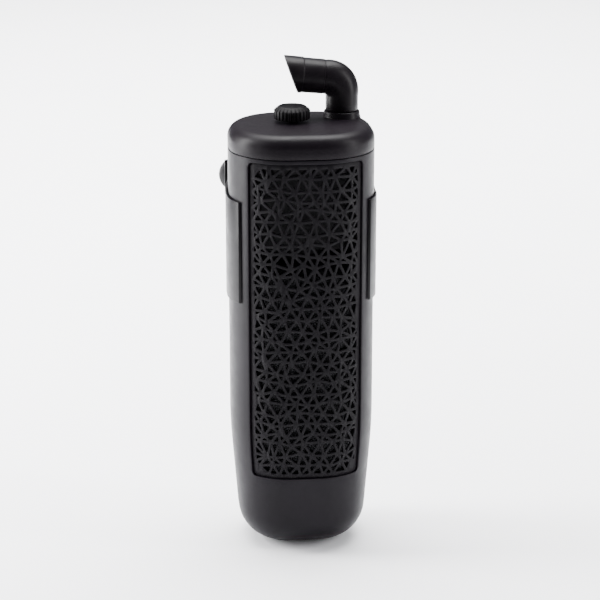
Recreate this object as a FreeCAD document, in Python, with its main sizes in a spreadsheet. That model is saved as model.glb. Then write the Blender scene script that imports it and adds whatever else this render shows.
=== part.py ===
import FreeCAD, Part
import math
import os
import random

import Sketcher

# Small internal aquarium filter: a canister with a lattice intake, a pump head with a
# swivelling outlet, and a holder with two suction cups that stick to the glass.
#
# Row frame, mm: the origin lies on the glass plane, midway between the two suction cups.
# +X is to the right, +Y points into the glass and +Z is up.
# Most pieces are drawn in the filter's own frame, whose origin is on the canister's
# vertical axis at the plane of the head's top, and are then placed in the row frame.

DIMENSIONS = {
    # canister and head outline, a rectangle with large round corners
    "half_width": 34.7,
    "half_depth": 31.0,
    "outline_corner": 27.7,
    "shell_wall": 2.2,
    "free_play": 0.3,
    # heights below the plane of the head's top
    "skirt_drop": 11.0,
    "lip_drop": 19.0,
    "straight_drop": 150.0,
    "canister_drop": 209.0,
    "foot_half_width": 29.9,
    "foot_half_depth": 26.4,
    "foot_corner": 23.1,
    "foot_rounding": 18.0,
    # head housing
    "top_plate": 2.5,
    "top_rise": 0.3,
    "top_rounding": 7.0,
    "lip_wall": 1.6,
    "boss_rise": 3.0,
    "boss_round": 8.6,
    "gland_x": -10.0,
    "gland_drop": 6.2,
    # front window and its grille
    "window_half_width": 27.0,
    "window_top": 13.2,
    "window_bottom": 170.0,
    "window_corner": 2.5,
    "grille_play": 0.2,
    "grille_inset": 1.1,
    "grille_wall": 1.0,
    "lattice_margin": 1.6,
    "lattice_columns": 8,
    "lattice_rows": 18,
    "rib_width": 1.7,
    # holder
    "glass_gap": 8.0,
    "cup_drop": 34.0,
    "cup_spread": 28.0,
    "arm_wall": 1.0,
    "arm_play": 0.25,
    "arm_top": 25.0,
    "arm_top_front": 33.5,
    "arm_foot": 85.0,
    "arm_foot_front": 83.0,
    "arm_front": 19.0,
    "ear_wall": 2.0,
    "ear_gap": 6.8,
    "cup_rim": 9.0,
    "cup_neck": 2.4,
    "rail_foot": 80.0,
    "rail_neck": 2.6,
    "rail_flange": 6.6,
    "rail_play": 0.7,
    # rotor axis, shared with the flow knob
    "rotor_offset_x": -4.0,
    "rotor_offset_y": 2.0,
    "shaft_round": 1.5,
    "shaft_play": 0.05,
    "magnet_round": 6.5,
    "well_round": 7.0,
    "well_wall": 1.2,
    "impeller_round": 12.5,
    "blade_wall": 1.2,
    "throttle_round": 15.9,
    "throttle_wall": 1.3,
    "chamber_round": 16.2,
    "chamber_wall": 1.8,
    # outlet axis and elbow
    "outlet_offset_x": 20.9,
    "outlet_offset_y": 12.2,
    "spigot_round": 5.8,
    "spigot_bore": 4.3,
    "socket_play": 0.05,
    "socket_wall": 1.1,
    "riser_round": 7.8,
    "pipe_bore": 5.2,
    "bend_round": 9.2,
    "bend_start": 10.25,
    "arm_tilt": 5.7,
    "arm_reach": 21.5,
    "lip_top_x": 27.6,
    "lip_top_z": 29.4,
    "lip_low_x": 21.5,
    "lip_low_z": 12.0,
    "duct_angle": 22.28,
    "duct_width": 8.4,
    # knob
    "knob_round": 8.7,
    "knob_top_round": 6.4,
    "knob_low": 1.6,
    "knob_high": 7.8,
    "knob_teeth": 26.0,
    "stem_round": 3.0,
    # motor housing
    "pot_centre_x": -1.5,
    "pot_centre_y": 2.0,
    "pot_half_x": 28.5,
    "pot_half_y": 19.0,
    "pot_corner": 10.0,
    "pot_drop": 58.0,
    "flange_wall": 2.0,
    "channel_x": -23.5,
    "channel_round": 4.5,
    "motor_centre_x": 4.5,
    "motor_half_x": 20.5,
    "motor_half_y": 17.0,
    "motor_corner": 6.0,
    "motor_top": 21.0,
    "well_foot": 50.8,
    # stator: core, bobbin and winding
    "core_left": -13.0,
    "core_right": 22.0,
    "yoke_left": 17.0,
    "core_front": -10.4,
    "core_back": 14.4,
    "core_arm": 4.0,
    "core_foot": 46.0,
    "core_head": 26.0,
    "bobbin_front": -5.9,
    "bobbin_back": 9.9,
    "bobbin_flange": 1.0,
    "bobbin_wall": 0.6,
    # pump chamber and intake dish
    "chamber_foot": 15.4,
    "chamber_head": 3.1,
    "chamber_floor": 1.2,
    "eye_round": 6.6,
    "dish_x": -10.0,
    "dish_half_x": 19.5,
    "dish_half_y": 13.0,
    "dish_corner": 7.0,
    "dish_wall": 1.6,
    # strainer tube and foam
    "tube_bore": 8.7,
    "tube_round": 10.0,
    "tube_top": 65.0,
    "foam_top": 67.0,
    "foam_play": 0.6,
}

doc = FreeCAD.newDocument("internal_filter")
sheet = doc.addObject("Spreadsheet::Sheet", "Sizes")


class Size:
    """A length that carries its value and the sheet formula it comes from."""

    def __init__(self, value, formula):
        self.value = value
        self.formula = formula

    def __add__(self, other):
        other = as_size(other)
        return Size(self.value + other.value, "(%s + %s)" % (self.formula, other.formula))

    def __radd__(self, other):
        return as_size(other) + self

    def __sub__(self, other):
        other = as_size(other)
        return Size(self.value - other.value, "(%s - %s)" % (self.formula, other.formula))

    def __rsub__(self, other):
        return as_size(other) - self

    def __mul__(self, other):
        other = as_size(other)
        return Size(self.value * other.value, "(%s * %s)" % (self.formula, other.formula))

    def __rmul__(self, other):
        return as_size(other) * self

    def __neg__(self):
        return Size(-self.value, "(0 - %s)" % self.formula)


def as_size(number):
    if isinstance(number, Size):
        return number
    return Size(float(number), "(%.6g)" % number if number >= 0 else "(0 - %.6g)" % -number)


class Dimensions:
    """The sheet's cells as attributes."""


dim = Dimensions()
for row, (alias, number) in enumerate(DIMENSIONS.items(), start=1):
    sheet.set("A%d" % row, alias)
    sheet.set("B%d" % row, "%g" % number)
    sheet.setAlias("B%d" % row, alias)
    setattr(dim, alias, Size(number, "Sizes." + alias))
doc.recompute()

# Placement of the filter's frame, the rotor's and knob's axis and the outlet's axis.
glass_y = dim.half_depth + dim.glass_gap
filter_frame = (as_size(0), -glass_y, dim.cup_drop)
rotor_frame = (dim.rotor_offset_x, dim.rotor_offset_y - glass_y, dim.cup_drop)
outlet_frame = (dim.outlet_offset_x, dim.outlet_offset_y - glass_y, dim.cup_drop)

nodes = []


# ---------------------------------------------------------------- general helpers

def bind(thing, path, length):
    thing.setExpression(path, length.formula)


def place(thing, frame, shift=(0, 0, 0)):
    for axis, start, extra in zip("xyz", frame, shift):
        bind(thing, "Placement.Base." + axis, start + extra)


def node(thing, label, frame=filter_frame):
    """Name a finished sub-part and put it in the row frame."""
    thing.Label = label
    place(thing, frame)
    nodes.append(thing)
    return thing


def new_body(name):
    return doc.addObject("PartDesign::Body", name)


def new_sketch(body, plane, offset):
    sketch = body.newObject("Sketcher::SketchObject", "Sketch")
    base = [part for part in body.Origin.OriginFeatures if part.Role == plane][0]
    sketch.AttachmentSupport = (base, [""])
    sketch.MapMode = "FlatFace"
    bind(sketch, "AttachmentOffset.Base.z", as_size(offset))
    return sketch


def hold(sketch, geometry, corner, x, y):
    """Fix a point of the sketch at x, y from the sketch's origin."""
    for kind, length, axis in (("DistanceX", as_size(x), -2), ("DistanceY", as_size(y), -1)):
        if abs(length.value) < 1e-9:
            sketch.addConstraint(Sketcher.Constraint("PointOnObject", geometry, corner, axis))
        else:
            rule = Sketcher.Constraint(kind, -1, 1, geometry, corner, length.value)
            index = sketch.addConstraint(rule)
            bind(sketch, "Constraints[%d]" % index, length)


def set_radius(sketch, geometry, radius):
    index = sketch.addConstraint(Sketcher.Constraint("Radius", geometry, radius.value))
    bind(sketch, "Constraints[%d]" % index, radius)


def circle(radius, x=0, y=0):
    """Drawing function for a circle."""
    radius, x, y = as_size(radius), as_size(x), as_size(y)

    def draw(sketch):
        centre = FreeCAD.Vector(x.value, y.value, 0)
        ring = Part.Circle(centre, FreeCAD.Vector(0, 0, 1), radius.value)
        geometry = sketch.addGeometry(ring, False)
        hold(sketch, geometry, 3, x, y)
        set_radius(sketch, geometry, radius)
    return draw


def rounded(half_x, half_y, corner, x=0, y=0):
    """Drawing function for a rectangle with four equal round corners."""
    half_x, half_y, corner = as_size(half_x), as_size(half_y), as_size(corner)
    left, right = x - half_x, x + half_x
    low, high = y - half_y, y + half_y

    def draw(sketch):
        turn = corner.value
        in_left, in_right = left.value + turn, right.value - turn
        in_low, in_high = low.value + turn, high.value - turn
        sides = [
            ((in_left, low.value), (in_right, low.value), (in_right, in_low), -90),
            ((right.value, in_low), (right.value, in_high), (in_right, in_high), 0),
            ((in_right, high.value), (in_left, high.value), (in_left, in_high), 90),
            ((left.value, in_high), (left.value, in_low), (in_left, in_low), 180),
        ]
        for start, end, centre, angle in sides:
            line = Part.LineSegment(FreeCAD.Vector(*start, 0), FreeCAD.Vector(*end, 0))
            sketch.addGeometry(line, False)
            ring = Part.Circle(FreeCAD.Vector(*centre, 0), FreeCAD.Vector(0, 0, 1), turn)
            arc = Part.ArcOfCircle(ring, math.radians(angle), math.radians(angle + 90))
            sketch.addGeometry(arc, False)
        for side in range(8):
            rule = Sketcher.Constraint("Tangent", side, 2, (side + 1) % 8, 1)
            sketch.addConstraint(rule)
        for side, kind in ((0, "Horizontal"), (2, "Vertical"), (4, "Horizontal"), (6, "Vertical")):
            sketch.addConstraint(Sketcher.Constraint(kind, side))
        walls = ((0, "DistanceY", low), (2, "DistanceX", right))
        walls += ((4, "DistanceY", high), (6, "DistanceX", left))
        for side, kind, length in walls:
            index = sketch.addConstraint(Sketcher.Constraint(kind, -1, 1, side, 1, length.value))
            bind(sketch, "Constraints[%d]" % index, length)
        set_radius(sketch, 1, corner)
        for side in (3, 5, 7):
            sketch.addConstraint(Sketcher.Constraint("Equal", 1, side))
    return draw


def polygon(points):
    """Drawing function for a closed outline of straight sides."""
    points = [(as_size(x), as_size(y)) for x, y in points]

    def draw(sketch):
        count = len(points)
        for index in range(count):
            start, end = points[index], points[(index + 1) % count]
            first = FreeCAD.Vector(start[0].value, start[1].value, 0)
            second = FreeCAD.Vector(end[0].value, end[1].value, 0)
            sketch.addGeometry(Part.LineSegment(first, second), False)
        for index in range(count):
            following = (index + 1) % count
            sketch.addConstraint(Sketcher.Constraint("Coincident", index, 2, following, 1))
        for index, (x, y) in enumerate(points):
            hold(sketch, index, 1, x, y)
    return draw


def rectangle(x_low, x_high, y_low, y_high):
    return polygon([(x_low, y_low), (x_high, y_low), (x_high, y_high), (x_low, y_high)])


def pad(body, draw, low, high, plane="XY_Plane"):
    """Add material between two offsets along the plane's normal."""
    low, high = as_size(low), as_size(high)
    sketch = new_sketch(body, plane, low)
    draw(sketch)
    feature = body.newObject("PartDesign::Pad", "Pad")
    feature.Profile = sketch
    bind(feature, "Length", high - low)
    return feature


def pocket(body, draw, low, high, plane="XY_Plane"):
    """Take material away between two offsets along the plane's normal."""
    low, high = as_size(low), as_size(high)
    sketch = new_sketch(body, plane, high)
    draw(sketch)
    feature = body.newObject("PartDesign::Pocket", "Pocket")
    feature.Profile = sketch
    bind(feature, "Length", high - low)
    return feature


def revolve(body, draw, kind="PartDesign::Revolution"):
    """Turn a profile, drawn as radius and height, once round the body's vertical axis."""
    sketch = new_sketch(body, "XZ_Plane", 0)
    draw(sketch)
    feature = body.newObject(kind, "Turned")
    feature.Profile = sketch
    feature.ReferenceAxis = (sketch, ["V_Axis"])
    feature.Angle = 360
    return feature


def polar(body, feature, count):
    """Repeat a feature evenly round the body's vertical axis."""
    pattern = body.newObject("PartDesign::PolarPattern", "Around")
    pattern.Originals = [feature]
    axis = [part for part in body.Origin.OriginFeatures if part.Role == "Z_Axis"][0]
    pattern.Axis = (axis, [""])
    pattern.Angle = 360
    pattern.Occurrences = count
    body.Tip = pattern
    return pattern


def outline(grow):
    """The canister's outline in plan, grown outwards by an offset or shrunk if negative."""
    return rounded(dim.half_width + grow, dim.half_depth + grow, dim.outline_corner + grow)


def box(name, x, y, z):
    """A block given as three (low, high) pairs."""
    block = doc.addObject("Part::Box", name)
    for side, (low, high) in zip(("Length", "Width", "Height"), (x, y, z)):
        bind(block, side, as_size(high) - low)
    place(block, (as_size(x[0]), as_size(y[0]), as_size(z[0])))
    return block


def cylinder(name, radius, low, high, x=0, y=0):
    rod = doc.addObject("Part::Cylinder", name)
    bind(rod, "Radius", as_size(radius))
    bind(rod, "Height", as_size(high) - low)
    place(rod, (as_size(x), as_size(y), as_size(low)))
    return rod


def cut(name, base, tools):
    """Take a list of tools away from a base."""
    tool = tools[0]
    if len(tools) > 1:
        tool = fuse(name + "_tools", tools)
    result = doc.addObject("Part::Cut", name)
    result.Base = base
    result.Tool = tool
    return result


def fuse(name, shapes):
    result = doc.addObject("Part::MultiFuse", name)
    result.Shapes = shapes
    return result


def edges_where(feature, wanted):
    doc.recompute()
    return ["Edge%d" % (i + 1) for i, edge in enumerate(feature.Shape.Edges) if wanted(edge)]


# ---------------------------------------------------------------- holder

def make_bracket():
    """Holder: two thin arms round the canister, a rail channel and an ear for each cup."""
    body = new_body("Bracket")
    back = dim.half_depth
    clear, reach = 1, 40
    pad(body, outline(dim.arm_play + dim.arm_wall), -dim.arm_foot, -dim.arm_top)
    pocket(body, outline(dim.arm_play), -dim.arm_foot - clear, -dim.arm_top + clear)
    nose, depth = -dim.arm_front - clear, -dim.arm_foot - 15
    front = rectangle(-reach, -dim.arm_front, -dim.arm_foot - clear, -dim.arm_top + clear)
    top = polygon([(nose, -dim.arm_top_front), (0, -dim.arm_top_front), (back, -dim.arm_top),
                   (back, 0), (nose, 0)])
    foot = polygon([(nose, -dim.arm_foot_front), (nose, depth), (back, depth), (back, -dim.arm_foot)])
    for slice_off in (front, top, foot):
        pocket(body, slice_off, -reach, reach, "YZ_Plane")
    add_channel(body)
    for side in (-1, 1):
        add_ear(body, side)
    return node(body, "bracket")


def add_channel(body):
    """Block behind the canister with a T-shaped channel, closed below, for the rail."""
    back, top = dim.half_depth, -dim.arm_top
    block_half, lip, channel, plate = 11, 2.0, 4.6, 6.2
    block = rectangle(-block_half, block_half, back + dim.arm_play, back + plate)
    pad(body, block, -dim.arm_foot, top)
    neck, flange = dim.rail_neck + dim.rail_play, dim.rail_flange + dim.rail_play
    pocket(body, rectangle(-neck, neck, back, back + lip + 0.2), -dim.rail_foot, top + 1)
    pocket(body, rectangle(-flange, flange, back + lip, back + channel), -dim.rail_foot, top + 1)


def add_ear(body, side):
    """Plate beside the channel with a keyhole slot for a suction cup's neck."""
    ear_back = glass_y - dim.ear_gap
    ear_front = ear_back - dim.ear_wall
    ear_low, ear_high = -dim.cup_drop - 8, -dim.arm_top
    near, far = as_size(15 * side), side * (dim.cup_spread + 6.5)
    left, right = sorted((near, far), key=lambda length: length.value)
    pad(body, rectangle(left, right, ear_front, ear_back), ear_low, ear_high)
    middle = side * dim.cup_spread
    slot = dim.cup_neck + 0.15
    throat = slot - 0.35
    front, behind = -ear_back - 1, -ear_front + 1
    pocket(body, circle(slot, middle, -dim.cup_drop), front, behind, "XZ_Plane")
    opening = rectangle(middle - throat, middle + throat, -dim.cup_drop, ear_high + 1)
    pocket(body, opening, front, behind, "XZ_Plane")


def make_cup(label, side):
    """Rubber suction cup, turned round the axis that points into the glass."""
    body = new_body("Cup")
    ear_near, ear_far = -dim.ear_gap - dim.ear_wall - 0.1, -dim.ear_gap + 0.1
    button, button_height, bevel = 3.9, 3.3, 1.0
    waist, hollow = 4.7, 2.6
    profile = [
        (0, ear_near - button_height), (button - bevel, ear_near - button_height),
        (button, ear_near - button_height + bevel), (button, ear_near),
        (dim.cup_neck, ear_near), (dim.cup_neck, ear_far), (waist - 0.3, ear_far), (waist, -4.6),
        (dim.cup_rim - 1.6, -2.3), (dim.cup_rim, -0.9), (dim.cup_rim, 0), (dim.cup_rim - 1, 0),
        (waist + 0.3, -1.7), (0, -hollow),
    ]
    revolve(body, polygon(profile))
    body.Placement.Rotation = FreeCAD.Rotation(FreeCAD.Vector(1, 0, 0), -90)
    return node(body, label, (side * dim.cup_spread, as_size(0), as_size(0)))


# ---------------------------------------------------------------- canister

def bowl(name, shrink, top, bottom_rise):
    """Solid of the canister's outer form, shrunk all round: straight, then tapered and rounded."""
    body = new_body(name)
    foot = -dim.canister_drop + bottom_rise
    waist = new_sketch(body, "XY_Plane", -dim.straight_drop)
    outline(-shrink)(waist)
    narrow = new_sketch(body, "XY_Plane", foot)
    corner = dim.foot_corner - shrink
    rounded(dim.foot_half_width - shrink, dim.foot_half_depth - shrink, corner)(narrow)
    loft = body.newObject("PartDesign::AdditiveLoft", "Taper")
    loft.Profile = waist
    loft.Sections = [narrow]
    loft.Ruled = True
    pad(body, outline(-shrink), -dim.straight_drop, top)
    tip = body.Tip
    low = foot.value + 0.01
    names = edges_where(tip, lambda edge: edge.BoundBox.ZMax < low)
    rounding = body.newObject("PartDesign::Fillet", "Foot")
    rounding.Base = (tip, names)
    bind(rounding, "Radius", dim.foot_rounding - shrink)
    return body


def window(name, shrink, depth_low=-45, depth_high=-14):
    """Prism through the front wall, with round corners, seen from the front."""
    body = new_body(name)
    half_height = 0.5 * (dim.window_bottom - dim.window_top)
    middle = -0.5 * (dim.window_bottom + dim.window_top)
    form = rounded(dim.window_half_width - shrink, half_height - shrink,
                   dim.window_corner - shrink, as_size(0), middle)
    pad(body, form, -depth_high, -depth_low, "XZ_Plane")
    return body


def make_canister():
    """Shell with an open top, a window for the grille and a rail down its back."""
    rim = -dim.skirt_drop - dim.free_play
    outer = bowl("CanisterOuter", as_size(0), rim, 0)
    inner = bowl("CanisterInner", dim.shell_wall, rim + 5, dim.shell_wall)
    shell = cut("CanisterShell", outer, [inner, window("CanisterWindow", as_size(0))])
    back = dim.half_depth
    foot, head = -dim.rail_foot, -dim.arm_top - 6
    neck_half, flange_half = dim.rail_neck, dim.rail_flange
    neck = box("RailNeck", (-neck_half, neck_half), (back - 0.5, back + 2.4), (foot, head))
    flange = box("RailFlange", (-flange_half, flange_half), (back + 2.35, back + 4.3), (foot, head))
    return node(fuse("Canister", [shell, neck, flange]), "canister")


def taper_share(z):
    """How far the outline has drawn in at a height: 0 where straight, 1 at the foot."""
    straight, foot = dim.straight_drop.value, dim.canister_drop.value
    return max(0, (-z - straight) / (foot - straight))


def front_point(run, inset, z):
    """Point at a height and a distance along the front wall from its middle, set inwards."""
    share = taper_share(z)
    half_x, half_y, corner = [
        (1 - share) * high.value + share * low.value
        for high, low in ((dim.half_width, dim.foot_half_width), (dim.half_depth, dim.foot_half_depth),
                          (dim.outline_corner, dim.foot_corner))]
    flat = dim.half_width.value - dim.outline_corner.value
    if abs(run) <= flat:
        return FreeCAD.Vector(run * (half_x - corner) / flat, inset - half_y, z)
    turn = (abs(run) - flat) / dim.outline_corner.value
    x = half_x - corner + (corner - inset) * math.sin(turn)
    return FreeCAD.Vector(math.copysign(x, run), corner - half_y - (corner - inset) * math.cos(turn), z)


def prismoid(low_ring, high_ring):
    """Solid between two flat outlines whose matching sides are parallel."""
    count = len(low_ring)
    rings = [low_ring + low_ring[:1], high_ring + high_ring[:1]]
    faces = [Part.Face(Part.makePolygon(ring)) for ring in rings]
    for index in range(count):
        following = (index + 1) % count
        corners = [low_ring[index], low_ring[following], high_ring[following], high_ring[index]]
        faces.append(Part.Face(Part.makePolygon(corners + corners[:1])))
    return Part.makeSolid(Part.makeShell(faces))


def lattice_heights(columns, rows, low, high):
    """Heights of the lattice's joints on each column line, moved at random inside the border."""
    chance = random.Random(11)
    step = (high - low) / rows
    lines = []
    for column in range(columns + 1):
        line = [low]
        for row in range(1, rows):
            line.append(low + (row + chance.uniform(-0.38, 0.38)) * step)
        lines.append(line + [high])
    return lines


def shrunk_triangle(corners, inset):
    """The triangle with each side moved inwards, or None where nothing is left."""
    lengths = [math.dist(corners[(i + 1) % 3], corners[(i + 2) % 3]) for i in range(3)]
    total = sum(lengths)
    centre = [sum(lengths[i] * corners[i][axis] for i in range(3)) / total for axis in (0, 1)]
    half = 0.5 * total
    area = math.sqrt(max(half * math.prod(half - side for side in lengths), 0))
    inscribed = area / half
    if inscribed < inset + 0.5:
        return None
    keep = 1 - inset / inscribed
    return [tuple(centre[axis] + keep * (point[axis] - centre[axis]) for axis in (0, 1))
            for point in corners]


def front_prism(corners):
    """Prism along the depth, through the front wall only."""
    start, reach = -45.0, 31.0
    points = [FreeCAD.Vector(x, start, z) for x, z in corners]
    face = Part.Face(Part.makePolygon(points + points[:1]))
    return face.extrude(FreeCAD.Vector(0, reach, 0))


def grille_panel(runs, low, high):
    """Curved panel of flat strips: upright above the taper and leaning below it."""
    outer_inset = dim.grille_inset.value
    insets = (outer_inset, outer_inset + dim.grille_wall.value)
    rings = []
    for z in (low, -dim.straight_drop.value, high):
        outer, inner = [[front_point(run, inset, z) for run in runs] for inset in insets]
        rings.append(outer + inner[::-1])
    return prismoid(rings[0], rings[1]).fuse(prismoid(rings[1], rings[2]))


def lattice_openings(edges, low, high):
    """Triangular prisms for the lattice's openings between the column lines."""
    rows = int(dim.lattice_rows.value)
    lines = lattice_heights(len(edges) - 1, rows, low, high)
    flip = random.Random(5)
    prisms = []
    for column in range(len(edges) - 1):
        left, right = edges[column], edges[column + 1]
        for row in range(rows):
            near, over = (left, lines[column][row]), (left, lines[column][row + 1])
            far, beyond = (right, lines[column + 1][row]), (right, lines[column + 1][row + 1])
            halves = [(near, far, over), (far, beyond, over)]
            if flip.random() < 0.5:
                halves = [(near, far, beyond), (near, beyond, over)]
            for corners in halves:
                opening = shrunk_triangle(corners, dim.rib_width.value / 2)
                if opening:
                    prisms.append(front_prism(opening))
    return prisms


def corner_trims(side, low, high):
    """Prisms that cut the panel's four corners back to the window's round corners."""
    trim = dim.window_corner.value
    prisms = []
    for x, z, up in ((-side, low, 1), (side, low, 1), (-side, high, -1), (side, high, -1)):
        inward = x - math.copysign(trim, x)
        outward = x + math.copysign(trim, x)
        inside, outside = z + up * trim, z - up * trim
        prisms.append(front_prism([(inward, z), (x, inside), (outward, inside),
                                   (outward, outside), (inward, outside)]))
    return prisms


def make_grille():
    """Lattice panel in the window, pierced by triangles of uneven size."""
    play, edge_play = dim.grille_play.value, 0.4
    corner_run = dim.half_width.value - dim.outline_corner.value
    sweep = math.asin((dim.window_half_width.value - corner_run) / dim.outline_corner.value)
    edge_run = corner_run + dim.outline_corner.value * sweep - play - edge_play
    columns, margin = int(dim.lattice_columns.value), dim.lattice_margin.value
    step = 2 * (edge_run - margin) / columns
    joints = [margin - edge_run + index * step for index in range(columns + 1)]
    runs = sorted(joints + [-edge_run, -corner_run, corner_run, edge_run])
    low = -dim.window_bottom.value + play
    high = -dim.window_top.value - play
    outer_inset = dim.grille_inset.value
    edges = [front_point(run, outer_inset, high).x for run in joints]
    prisms = lattice_openings(edges, low + margin, high - margin)
    side = front_point(edge_run, outer_inset, high).x
    prisms += corner_trims(side, low, high)
    grille = doc.addObject("Part::Feature", "Grille")
    grille.Shape = grille_panel(runs, low, high).cut(Part.makeCompound(prisms))
    return node(grille, "intake_grille")


def make_foam():
    """Foam cartridge: fills the canister below the motor, with a bore for the tube."""
    shrink = dim.shell_wall + dim.foam_play
    blank = bowl("FoamBlank", shrink, -dim.foam_top, shrink)
    bore = cylinder("FoamBore", dim.tube_round + dim.free_play, -dim.canister_drop, -dim.foam_top + 1)
    return node(cut("Foam", blank, [bore]), "sponge_cartridge")


def make_tube():
    """Strainer tube: stands on the canister's floor, closed below, with rows of slots."""
    body = new_body("Tube")
    foot = -dim.canister_drop + dim.shell_wall + 0.05
    floor = 1.5
    pad(body, circle(dim.tube_round), foot, -dim.tube_top)
    pocket(body, circle(dim.tube_bore), foot + floor, -dim.tube_top + 1)
    slot_half, slot_height, pitch, count, lift, reach = 2.5, 7.0, 13.0, 10, 8, 20
    for plane in ("XZ_Plane", "YZ_Plane"):
        slot = rectangle(-slot_half, slot_half, foot + lift, foot + lift + slot_height)
        first = pocket(body, slot, -reach, reach, plane)
        rows = body.newObject("PartDesign::LinearPattern", "Rows")
        rows.Originals = [first]
        axis = [part for part in body.Origin.OriginFeatures if part.Role == "Z_Axis"][0]
        rows.Direction = (axis, [""])
        rows.Length = pitch * (count - 1)
        rows.Occurrences = count
        body.Tip = rows
    return node(body, "strainer_tube")


# ---------------------------------------------------------------- pump head

def make_head():
    """Head housing: rounded top, side skirt, inner lip and the collar of the outlet."""
    body = new_body("Head")
    lip = dim.shell_wall + dim.free_play
    inside = lip + dim.lip_wall
    cap = pad(body, outline(0), -dim.skirt_drop, dim.top_rise)
    top_band = -1.0
    names = edges_where(cap, lambda edge: edge.BoundBox.ZMin > top_band)
    rounding = body.newObject("PartDesign::Fillet", "TopEdge")
    rounding.Base = (cap, names)
    bind(rounding, "Radius", dim.top_rounding)
    pad(body, outline(-lip), -dim.lip_drop, -dim.skirt_drop)
    pocket(body, outline(-inside), -dim.lip_drop - 1, -dim.top_plate)
    outlet = (dim.outlet_offset_x, dim.outlet_offset_y)
    knob = (dim.rotor_offset_x, dim.rotor_offset_y)
    below = -2 * dim.top_plate
    pad(body, circle(dim.boss_round, *outlet), 0.5 - dim.top_plate, dim.boss_rise)
    pocket(body, circle(dim.spigot_round + dim.socket_play, *outlet), below, dim.boss_rise + 1)
    pocket(body, circle(dim.stem_round + dim.shaft_play, *knob), below, dim.top_rise + 1)
    groove = seal_ring("HeadGroove", lip + 0.8, lip - 0.5, *seal_heights())
    hole_round, hole_start, hole_end = 3.6, 20, 40
    gland_hole = cylinder("GlandHole", hole_round, hole_start, hole_end)
    gland_hole.Placement.Rotation = FreeCAD.Rotation(FreeCAD.Vector(1, 0, 0), -90)
    place(gland_hole, (dim.gland_x, as_size(hole_start), -dim.gland_drop))
    head = cut("HeadCut", body, [groove, gland_hole])
    return node(head, "head_housing")


def seal_heights():
    return -dim.lip_drop + 3.5, -dim.lip_drop + 5.3


def seal_ring(name, inner, outer, low, high):
    """Ring that follows the canister's outline between two offsets inside it."""
    body = new_body(name)
    pad(body, outline(-outer), low, high)
    pocket(body, outline(-inner), low - 1, high + 1)
    return body


def make_head_seal():
    lip = dim.shell_wall + dim.free_play
    return node(seal_ring("HeadSeal", lip + 0.8, lip, *seal_heights()), "head_seal")


def make_gland():
    """Rubber gland in the head's back wall, bored for the mains lead."""
    body = new_body("Gland")
    bore, sleeve, flange, flange_end = 2.9, 3.5, 4.3, 1.3
    inner_end, outer_end = -4.6, 4.4
    profile = [(bore, inner_end), (sleeve, inner_end), (sleeve, 0.1), (flange, 0.1),
               (flange, flange_end), (flange - 0.4, flange_end + 0.3), (sleeve - 0.1, outer_end),
               (bore, outer_end)]
    revolve(body, polygon(profile))
    body.Placement.Rotation = FreeCAD.Rotation(FreeCAD.Vector(1, 0, 0), -90)
    spot = (dim.gland_x, dim.half_depth - glass_y, dim.cup_drop - dim.gland_drop)
    return node(body, "cable_gland", spot)


def motor_plan(shrink):
    """Outline of the potted stator's room in the motor cup."""
    return rounded(dim.motor_half_x - shrink, dim.motor_half_y - shrink, dim.motor_corner - shrink,
                   dim.motor_centre_x, dim.pot_centre_y)


def make_motor_housing():
    """Flange, potted motor cup, rotor well and intake channel in one moulding."""
    body = new_body("Motor")
    inside = dim.shell_wall + dim.free_play + dim.lip_wall + 0.1
    flange_top = -dim.lip_drop + dim.flange_wall
    pot = (dim.pot_centre_x, dim.pot_centre_y)
    rotor = (dim.rotor_offset_x, dim.rotor_offset_y)
    cup = rounded(dim.pot_half_x, dim.pot_half_y, dim.pot_corner, *pot)
    pad(body, cup, -dim.pot_drop, -dim.lip_drop)
    pad(body, outline(-inside), -dim.lip_drop, flange_top)
    pocket(body, motor_plan(0), -dim.pot_drop - 1, -dim.motor_top)
    well_outer = circle(dim.well_round + dim.well_wall, *rotor)
    pad(body, well_outer, -dim.well_foot - dim.well_wall, -dim.lip_drop)
    pocket(body, circle(dim.well_round, *rotor), -dim.well_foot, flange_top + 1)
    channel = circle(dim.channel_round, dim.channel_x, dim.pot_centre_y)
    pocket(body, channel, -dim.pot_drop - 1, flange_top + 1)
    return node(body, "motor_housing")


def make_resin():
    """Potting that fills the motor cup round the stator."""
    body = new_body("Resin")
    play = 0.1
    low, high = -dim.pot_drop, -dim.motor_top - play
    pad(body, motor_plan(play), low, high)
    rotor = (dim.rotor_offset_x, dim.rotor_offset_y)
    well = circle(dim.well_round + dim.well_wall + play, *rotor)
    pocket(body, well, -dim.well_foot - dim.well_wall - 0.2, high + 1)
    left, right = dim.core_left - 0.2, dim.core_right + 0.2
    front, back = dim.core_front - play, dim.core_back + play
    arm = dim.core_arm + play
    core_foot = -dim.core_foot - play
    pocket(body, rectangle(left, right, back - arm - play, back), core_foot, high + 1)
    pocket(body, rectangle(left, right, front, front + arm + play), core_foot, high + 1)
    coil_left, coil_right = dim.yoke_left - 4.1, dim.core_right + 2.3
    coil_foot = core_foot - 4
    pocket(body, rectangle(coil_left, coil_right, front, back), coil_foot, high + 1)
    return node(body, "potting_resin")


def make_laminations():
    """C-shaped core: two arms that reach past the rotor and the yoke that joins them."""
    body = new_body("Core")
    low, high = -dim.core_foot, -dim.core_head
    front, back = dim.core_front, dim.core_back
    pad(body, rectangle(dim.yoke_left, dim.core_right, front, back), low, high)
    pad(body, rectangle(dim.core_left, dim.core_right, back - dim.core_arm, back), low, high)
    pad(body, rectangle(dim.core_left, dim.core_right, front, front + dim.core_arm), low, high)
    return node(body, "stator_laminations")


def yoke_band(name, gap, y_span):
    """Block round the yoke at a gap from it, over a span of depth."""
    x_span = (dim.yoke_left - gap, dim.core_right + gap)
    return box(name, x_span, y_span, (-dim.core_foot - gap, -dim.core_head + gap))


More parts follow.
